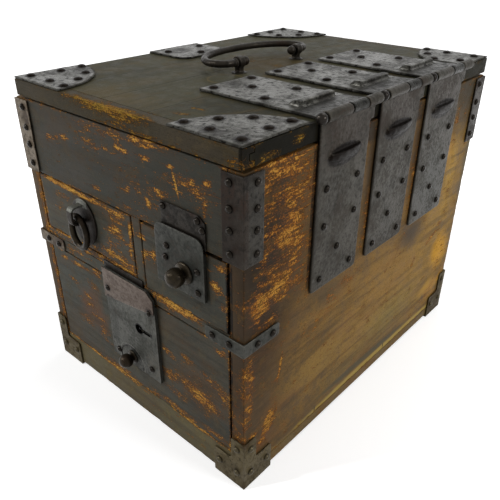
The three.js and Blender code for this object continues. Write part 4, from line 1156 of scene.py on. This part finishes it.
@dataclass
class CaseBoards:
    """The boards of the case."""

    fitter: Fitter
    fine: Planing = Planing()
    middling: Planing = Planing(cell=9 * MM)
    broad: Planing = Planing(cell=12 * MM)
    plain: Planing = Planing(cell=24 * MM, chips=0.4 * MM)

    def build(self) -> None:
        """Makes the boards."""
        for node, finish, work in (
            ("upper_front_board", UPPER_BOARD, self.fine),
            ("left_drawer_bed", BED, self.middling),
            ("drawer_shelf", SHELF, self.broad),
            ("drawer_divider", DIVIDER, self.middling),
            ("base_rail", RAIL, self.fine),
            ("right_side_panel", RIGHT_SIDE, self.fine),
            ("left_side_panel", LEFT_SIDE, self.broad),
            ("back_panel", BACK_PANEL, self.broad),
            ("bottom_board", BOTTOM_WOOD, self.plain),
            ("till_floor", BARE_WOOD, self.plain),
        ):
            self.fitter.board(node, finish, work)


@dataclass
class LidBoards:
    """The lid's planks between their two cleats."""

    fitter: Fitter
    fine: Planing = Planing(chips=0.5 * MM)

    def build(self) -> None:
        """Makes the lid's boards."""
        self.fitter.board("lid_panel", LID_PANEL, self.fine)
        self.fitter.board("lid_cleat_front", LID_CLEAT, replace(self.fine, cell=5 * MM))
        self.fitter.board("lid_cleat_back", LID_CLEAT, self.fine)


DARK_IRON = IronFinish(name="dark_iron", dark="262320", mid="332f2b", light="47433e")
STRAP_IRON = IronFinish(
    name="strap_iron", dark="403d36", mid="4c4840", light="605b52", rust="3a2d24", rusty=0.25, blotch=0.22,
    speckle=0.25, pits=0.3, shade=0.51, worn_edge_highlight_and_shade="6f6c66", rim=0.12,
)
CORNER_IRON = IronFinish(
    name="corner_iron", dark="2a2622", mid="37302a", light="50473d", rusty=0.5, speckle=0.5, pits=0.6, rim=0.12,
)
LEFT_IRON = replace(CORNER_IRON, name="left_iron", dark="665a4b", mid="766856", light="8a7b66")
FOOT_IRON = IronFinish(
    name="foot_iron", dark="554a32", mid="665a3d", light="7d6e4c", rust="45341f", head="5b5340", nail_gloss=0.4,
    rusty=0.45, metallic=0.35, roughness=(0.46, 0.66),
)
# Its dark edge colour is painted shade.
PALE_IRON = IronFinish(
    name="pale_iron", dark="858379", mid="9b9990", light="d2d0c8", rust="332c25", rusty=0.5, blotch=0.6,
    speckle=0.75, pits=0.95, pit_scale=190.0, nail="2b231d", head="332b24", nail_gloss=0.4, ring=1.0,
    worn_edge_highlight_and_shade="46423a", rim=0.7, dull_rim=0.9, metallic=0.7, roughness=(0.28, 0.48), relief=0.8 * MM, shade=0.235,
)
GREY_IRON = IronFinish(
    name="grey_iron", dark="3d3e39", mid="494a44", light="5c5b54", rusty=0.2, pits=0.3, worn_edge_highlight_and_shade="8f8c84", rim=0.22,
)


@dataclass
class CaseIrons:
    """Corner irons, foot irons, waist straps and strike plates."""

    fitter: Fitter
    work: Forging = Forging()

    def build(self) -> None:
        """Makes the irons of the case."""
        stains = (
            Stain("45443f", Patch((184, -214, 300), (7, 14, 84), 0.6, boxed=True), 0.6),
            Stain("231d18", Patch((160, -235, 310), (30, 12, 70), 0.6), 0.9, 0.8),
            Stain("17130f", Patch((180, -230, 390), (60, 60, 22), 0.7), 0.8),
        )
        corner = replace(CORNER_IRON, stains=stains).build()
        dark = replace(CORNER_IRON, name="strike_iron", dark="211e1a", mid="2c2823", light="403a33").build()
        left, foot, grey = LEFT_IRON.build(), FOOT_IRON.build(), GREY_IRON.build()
        iron = self.fitter.iron
        for end in ("front", "back"):
            iron(f"corner_iron_{end}_right", corner, self.work)
            iron(f"corner_iron_{end}_left", left, self.work)
            for side in ("right", "left"):
                iron(f"foot_iron_{end}_{side}", foot, self.work)
        iron("waist_strap_front_right", grey, self.work)
        iron("waist_strap_front_left", left, self.work)
        for place in ("upper", "lower"):
            iron(f"{place}_strike_plate", dark, replace(self.work, voxel=0.65 * MM))


@dataclass
class HingePin:
    """A hinge's pin: a ball in front, a shaft through the knuckles and a tail behind."""

    ball: float = 5.75 * MM
    shaft: float = 2.3 * MM
    tail: float = 4.15 * MM
    tail_width: float = 1.15 * MM
    sides: int = 28

    def build(self, node: str) -> Object:
        """Makes the pin in the place of its node.

        Args:
            node: The CAD node's name.

        Returns:
            The pin.
        """
        low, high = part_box(node)
        middle = (low + high) / 2
        bm = bmesh.new()
        ball = Vector((middle.x, low.y + self.ball + 0.05 * MM, middle.z))
        lay = Matrix.Translation(ball) @ Matrix.Rotation(math.pi / 2, 4, "X")
        bmesh.ops.create_uvsphere(bm, u_segments=self.sides, v_segments=18, radius=self.ball, matrix=lay)
        for v in bm.verts:
            v.co -= (v.co - ball) * 0.05 * half_noise(v.co * 260)
        length = high.y - ball.y - self.tail_width / 2
        rod(bm, self.shaft, length, (middle.x, ball.y + length / 2, middle.z), self.sides)
        tail = rod(bm, self.tail, self.tail_width, (middle.x, high.y - self.tail_width / 2, middle.z), self.sides)
        rims = {e for v in tail for e in v.link_edges if abs(e.verts[0].co.y - e.verts[1].co.y) < WELD}
        bevel(bm, list(rims), 0.3 * MM, 2)
        shade_smooth(bm)
        return mesh_object(f"{node}_turned", bm)


@dataclass
class StrapHinges:
    """The three strap hinges: side leaves, lid leaves and pins."""

    fitter: Fitter
    work: Forging = Forging(voxel=0.95 * MM, dents=0.4 * MM)
    pin: HingePin = field(default_factory=HingePin)

    def side_finish(self, node: str, blue: bool) -> IronFinish:
        """The finish of a strap on the side, with its boss and its upper part stained and painted shade along its
        front edge.

        Args:
            node: The CAD node's name.
            blue: Whether the lower half has a bluish cast.

        Returns:
            The finish.
        """
        low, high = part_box(node)
        middle = (low.y + high.y) / 2 * 1000 - 3
        stains = [
            Stain("3d3129", Patch((184, middle, 378), (20, 60, 40), 0.6), 1.0),
            Stain("120a05", Patch((184, middle - 0.6, 359), (40, 34, 13), 0.97), 0.15, 0.1),
            Stain("4b3c2c", Patch((184, middle + 44, 300), (8, 9, 110), 0.35), 0.9),
            # Painted shade along the strap's front edge.
            Stain("2a2621", Patch((184, middle - 42, 310), (8, 5, 110), 0.5), 0.4),
        ]
        if blue:
            stains.append(Stain("4b4c47", Patch((184, middle, 262), (12, 60, 66), 0.6), 1.0))
        return replace(STRAP_IRON, name=f"strap_iron_{node}", stains=tuple(stains))

    def build(self) -> None:
        """Makes the hinges."""
        barrel = Stain("3a3932", Patch((190, 0, 404), (19, 400, 14), 0.93, boxed=True), 0.5)
        # Painted shade on the lid leaves between each ridge and the barrel.
        shade = Stain("2c2923", Patch((164, 0, 404), (20, 400, 14), 0.75, boxed=True), 1.0, 0.8)
        pale = replace(PALE_IRON, stains=(shade, barrel)).build()
        dark = replace(DARK_IRON, name="pin_iron", roughness=(0.2, 0.34)).build()
        for place in ("front", "middle", "back"):
            strap = f"side_hinge_strap_{place}"
            self.fitter.iron(strap, self.side_finish(strap, place == "back").build(), self.work)
            self.fitter.iron(f"lid_hinge_strap_{place}", pale, replace(self.work, pits=0.32 * MM))
            pin = f"hinge_pin_{place}"
            self.fitter.fit(self.pin.build(pin), pin, dark)


@dataclass
class LidIrons:
    """Corner plates, bail, bail eyes and hasp."""

    fitter: Fitter
    plate: Forging = Forging(voxel=0.9 * MM, pits=0.34 * MM)
    bar: Forging = Forging(voxel=0.62 * MM, rounds=6, dents=0.35 * MM, dent_size=22 * MM, pits=0.12 * MM)

    def build(self) -> None:
        """Makes the lid's irons."""
        pale = replace(PALE_IRON, name="plate_iron").build()
        bail = replace(
            DARK_IRON, name="bail_iron", dark="2f2a24", mid="3d372f", light="564f45", worn_edge_highlight_and_shade="8d857b",
            metallic=0.35, shade=0.4, roughness=(0.3, 0.46),
        ).build()
        for end in ("front", "back"):
            for side in ("right", "left"):
                self.fitter.iron(f"lid_corner_plate_{end}_{side}", pale, self.plate)
            self.fitter.iron(f"bail_eye_{end}", bail, replace(self.bar, rounds=3, dents=0.2 * MM))
        self.fitter.iron("bail_handle", bail, self.bar)
        self.fitter.iron("hasp_strap", pale, self.plate)
        self.fitter.iron("hasp_tongue", bail, self.plate)
        self.fitter.iron("hasp_pin", bail, replace(self.bar, voxel=0.5 * MM, rounds=2, dents=0.1 * MM))


@dataclass
class PullKnob:
    """A turned knob on a collar, with its shank through the drawer's front."""

    ball: float
    collar: float
    collar_width: float
    neck: float
    stand: float
    shank: float = 2.9 * MM
    washer: float = 6.4 * MM
    washer_width: float = 1.5 * MM
    steps: int = 44

    def profile(self, reach: float) -> list[tuple[float, float]]:
        """Half the knob's outline, as radius and distance out of the plate.

        Args:
            reach: How far the shank goes behind the plate.

        Returns:
            The points, from the washer inside to the tip of the ball.
        """
        inside, rim = self.washer_width - reach, self.collar_width
        points = [
            (0.0, -reach), (self.washer - 0.4 * MM, -reach), (self.washer, -reach + 0.4 * MM),
            (self.washer, inside), (self.shank, inside), (self.shank, 0.0),
            (self.collar - 0.3 * MM, 0.0), (self.collar, 0.4 * MM),
            (self.collar - 0.2 * MM, rim * 0.45), (self.collar - 1.6 * MM, rim * 0.8),
            (self.neck + 0.8 * MM, rim), (self.neck, rim + 0.9 * MM),
        ]
        for i in range(1, 19):
            turn = math.pi * (i / 18) - math.pi / 2
            radius = self.ball * math.cos(turn)
            out = self.stand + self.ball * math.sin(turn)
            if out > rim + 1.2 * MM and radius > self.neck or i == 18:
                points.append((max(radius, 0.0) if i < 18 else 0.0, out))
        return points

    def build(self, node: str) -> Object:
        """Makes the knob in the place of its node.

        Args:
            node: The CAD node's name.

        Returns:
            The knob.
        """
        low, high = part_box(node)
        middle = (low + high) / 2
        face = low.y + self.stand + self.ball
        bm = bmesh.new()
        points = [bm.verts.new((middle.x + r, face - out, middle.z)) for r, out in self.profile(high.y - face)]
        line = [bm.edges.new(pair) for pair in zip(points, points[1:])]
        bmesh.ops.spin(bm, geom=points + line, cent=middle, axis=(0, 1, 0), angle=2 * math.pi, steps=self.steps,
                       use_merge=True)
        bmesh.ops.remove_doubles(bm, verts=bm.verts, dist=WELD)
        bmesh.ops.recalc_face_normals(bm, faces=bm.faces)
        for v in bm.verts:
            if v.co.y < face:
                v.co -= (v.co - Vector((middle.x, v.co.y, middle.z))) * 0.03 * half_noise(v.co * 150)
        shade_smooth(bm)
        piece = mesh_object(f"{node}_turned", bm)
        piece.data.set_sharp_from_angle(angle=SHARP)
        return piece


@dataclass
class Drawers:
    """The three drawers with their plates, pulls and lock."""

    fitter: Fitter
    fine: Planing = Planing()
    plain: Planing = Planing(cell=20 * MM, chips=0.4 * MM, bevel=0.8 * MM)
    plate: Forging = Forging(voxel=0.75 * MM)
    ring: Forging = Forging(voxel=0.5 * MM, rounds=5, dents=0.2 * MM, dent_size=9 * MM, pits=0.08 * MM)
    post: tuple[float, float] = (1.7 * MM, 3.4 * MM)
    key_place: tuple[float, float] = (17.5 * MM, 144.5 * MM)

    def keyed(self, plate: Object) -> Object:
        """Adds the tip of the post that a hollow key turns on, in the middle of the keyhole.

        Args:
            plate: The lock plate.

        Returns:
            The plate.
        """
        radius, length = self.post
        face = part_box("lower_lock_plate")[1].y
        bm = bmesh.new()
        bm.from_mesh(plate.data)
        post = rod(bm, radius, length, (self.key_place[0], face - length / 2, self.key_place[1]), 24)
        tip = [v for v in post if v.co.y < face - length * 0.9]
        ends = {e for v in tip for e in v.link_edges if all(abs(w.co.y - tip[0].co.y) < WELD for w in e.verts)}
        bevel(bm, list(ends), 0.5 * MM, 3)
        shade_smooth(bm)
        bm.to_mesh(plate.data)
        bm.free()
        return plate

    def lock_iron(self) -> IronFinish:
        """The lower lock's plate, stained round its knob and its keyhole."""
        stains = PLATE.stained(
            ("1c1611", (-27, 166, 12, 9, 0.95), 0.6), ("1f1914", (40, 168, 6, 13, 0.8), 0.6),
            ("24201c", (-31, 128, 12, 46, 0.65), 1.2), ("24201c", (-4, 96, 26, 24, 0.6), 1.2),
            # The near-black box is painted shade along the keyhole's slot.
            ("544a38", (38, 100, 22, 36, 0.6), 1.2), (KEYHOLE_SHADE, (28, 144.5, 15, 3.3, 1.0, 0, True), 0.0),
        )
        circles = (
            # Painted shade round the keyhole.
            Circle((17.5, 0, 144.5), 5.7, 2.4, KEYHOLE_SHADE),
            # A painted shadow of the raised ring round the knob, with rust.
            Circle((-3.5, 0, 84.6), 21.2, 1.2, "15110e", 0.9, 1.6),
            Circle((-3.5, 0, 84.6), 23.6, 1.0, "8b8a84", 0.7, 2.4),
        )
        grey = replace(GREY_IRON, name="lock_iron", dark="484944", mid="575852", light="75746d", rim=0.15)
        return replace(grey, brushed=Grain.Z, stains=stains, circles=circles)

    def cover_iron(self) -> IronFinish:
        """The riveted cover, warmer than the plate under it."""
        stains = PLATE.stained(
            ("1f1a17", (-33, 181, 9, 8, 0.7), 0.5), ("1c1410", (-31, 166, 13, 7, 0.9), 0.6),
            ("2c211c", (42, 178, 9, 12, 0.95), 0.7),
        )
        warm = replace(GREY_IRON, name="cover_iron", dark="6a5c53", mid="776960", light="8b7d71", nail="1d1916")
        return replace(warm, brushed=Grain.X, speckle=0.2, stains=stains)

    def seat_iron(self) -> IronFinish:
        """The seat of the ring, darkened with painted shade below its arch, whose top has a painted highlight."""
        stains = (
            # Painted shade over the seat behind the ring.
            Stain("2a241f", Patch((-71, -233, 246), (40, 6, 44), 0.95), 0.3),
            # Painted highlight on the top of the arch.
            Stain("878880", Patch((-71, -243, 279), (12, 17, 9), 0.9, boxed=True), 0.3),
        )
        dark = replace(GREY_IRON, name="ring_seat_iron", dark="35302b", mid="3d3833", light="4c4842", rim=0.1)
        return replace(dark, stains=stains)

    def build(self) -> None:
        """Makes the drawers."""
        fit = self.fitter
        fronts = {"left": LEFT_FRONT, "right": RIGHT_FRONT, "lower": LOWER_FRONT}
        for place, finish in fronts.items():
            fit.board(f"{place}_drawer_front", finish, self.fine)
        for place in fronts:
            fit.board(f"{place}_drawer_tray", BARE_WOOD, self.plain)
        dark = replace(DARK_IRON, name="pull_iron", dark="2a241b", mid="3b3326", light="51483a", metallic=0.42)
        dark = replace(dark, roughness=(0.2, 0.34)).build()
        grey = replace(GREY_IRON, name="right_plate_iron", dark="3a3b37", mid="444540", light="56554f").build()
        fit.iron("ring_seat", self.seat_iron().build(), replace(self.plate, voxel=0.55 * MM, rounds=10))
        fit.iron("ring_pull", dark, self.ring)
        fit.iron("right_drawer_plate", grey, self.plate)
        lock = fit.smithy.forge("lower_lock_plate", replace(self.plate, voxel=0.55 * MM))
        fit.fit(self.keyed(lock), "lower_lock_plate", self.lock_iron().build())
        cover = replace(self.plate, voxel=0.6 * MM, rounds=2, dents=0.2 * MM)
        fit.iron("lower_lock_cover", self.cover_iron().build(), cover)
        fit.iron("lower_lock_case", dark, replace(self.plate, dents=0.2 * MM, rounds=1))
        fit.iron("lower_lock_bolt", dark, replace(self.plate, dents=0.1 * MM, rounds=1))
        large = PullKnob(10.4 * MM, 12.6 * MM, 3 * MM, 5.5 * MM, 11.4 * MM)
        small = PullKnob(8.9 * MM, 9 * MM, 2.6 * MM, 4.4 * MM, 10.4 * MM)
        fit.fit(large.build("right_drawer_knob"), "right_drawer_knob", dark)
        fit.fit(small.build("lower_drawer_knob"), "lower_drawer_knob", dark)


@dataclass
class PhotoCamera:
    """The camera of the photograph, solved from the chest's corners."""

    place: Triple = (0.4614, -0.5403, 0.5510)
    azimuth: float = 41.637
    elevation: float = 29.824
    roll: float = 0.318
    lens: float = 40.71
    sensor: float = 36.0

    def build(self) -> None:
        """Makes the camera and lets the scene look through it."""
        data = bpy.data.cameras.new("photo_camera")
        data.lens = self.lens
        data.sensor_width = self.sensor
        data.sensor_fit = "HORIZONTAL"
        data.clip_start = 0.01
        data.clip_end = 100.0
        camera = bpy.data.objects.new("photo_camera", data)
        bpy.context.scene.collection.objects.link(camera)
        placed = Matrix.Translation(self.place)
        for degrees, axis in ((self.azimuth, "Z"), (90 - self.elevation, "X"), (self.roll, "Z")):
            placed = placed @ Matrix.Rotation(math.radians(degrees), 4, axis)
        camera.matrix_world = placed
        bpy.context.scene.camera = camera


@dataclass(frozen=True)
class SoftLamp:
    """A square lamp that looks at the chest."""

    name: str
    place: Triple
    size: float
    power: float

    def build(self) -> None:
        """Makes the lamp."""
        data = bpy.data.lights.new(self.name, "AREA")
        data.shape = "SQUARE"
        data.size = self.size
        data.energy = self.power
        lamp = bpy.data.objects.new(self.name, data)
        lamp.location = self.place
        lamp.rotation_euler = (Vector((0, 0, 0.2)) - Vector(self.place)).to_track_quat("-Z", "Y").to_euler()
        bpy.context.scene.collection.objects.link(lamp)


@dataclass
class Studio:
    """A white floor and background, with soft lamps."""

    lamps: tuple[SoftLamp, ...] = (
        SoftLamp("left_window", (-1.6, -1.6, 1.1), 0.75, 18.0),
        SoftLamp("right_window", (2.3, 0.5, 1.4), 0.9, 38.0),
        SoftLamp("top", (0.1, 0.9, 2.2), 1.2, 15.0),
        SoftLamp("spark", (-0.7, -1.5, 1.7), 0.12, 16.0),
    )
    ambient: float = 0.15
    floor_grey: float = 0.75
    floor_glow: tuple[float, float] = (0.56, 1.0)
    glow_reach: tuple[float, float] = (0.34, 0.9)
    half: float = 12.0

    def world(self) -> None:
        """A world that is white to the camera and in reflections, and a soft grey light otherwise."""
        bpy.context.scene.world = bpy.data.worlds.new("studio")
        g = Graph(bpy.context.scene.world)
        grey = g.out("ShaderNodeBackground", 0, {"Strength": self.ambient})
        white = g.out("ShaderNodeBackground", 0, {"Color": WHITE, "Strength": 1.0})
        g.end("ShaderNodeOutputWorld", g.out("ShaderNodeMixShader", 0, {0: g.seen(), 1: grey, 2: white}))

    def floor(self) -> None:
        """A floor that is white to the camera but for the chest's shadow, and open from below."""
        bm = bmesh.new()
        bmesh.ops.create_grid(bm, x_segments=4, y_segments=4, size=self.half)
        floor = mesh_object("studio_floor", bm)
        g = Graph(bpy.data.materials.new("studio_floor"))
        matt = g.out("ShaderNodeBsdfDiffuse", 0, {"Color": (self.floor_grey, self.floor_grey, self.floor_grey, 1.0)})
        glow = g.seen() * g.length(g.place).step(*self.glow_reach, *self.floor_glow)
        lit = g.out("ShaderNodeAddShader", 0, {0: matt, 1: g.out("ShaderNodeEmission", 0, {"Strength": glow})})
        below = g.out("ShaderNodeNewGeometry", "Backfacing")
        clear = g.out("ShaderNodeBsdfTransparent")
        g.end("ShaderNodeOutputMaterial", g.out("ShaderNodeMixShader", 0, {0: below, 1: lit, 2: clear}))
        floor.data.materials.append(g.owner)

    def build(self) -> None:
        """Makes the studio."""
        bpy.context.scene.view_settings.view_transform = "Standard"
        self.world()
        self.floor()
        for lamp in self.lamps:
            lamp.build()


def main() -> None:
    """Builds the chest's looks around the frame."""
    logging.basicConfig(level=logging.INFO, format="%(message)s")
    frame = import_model()
    PhotoCamera().build()
    fitter = Fitter(frame)
    CaseBoards(fitter).build()
    LidBoards(fitter).build()
    CaseIrons(fitter).build()
    StrapHinges(fitter).build()
    LidIrons(fitter).build()
    Drawers(fitter).build()
    Studio().build()


if __name__ == "__main__":
    main()
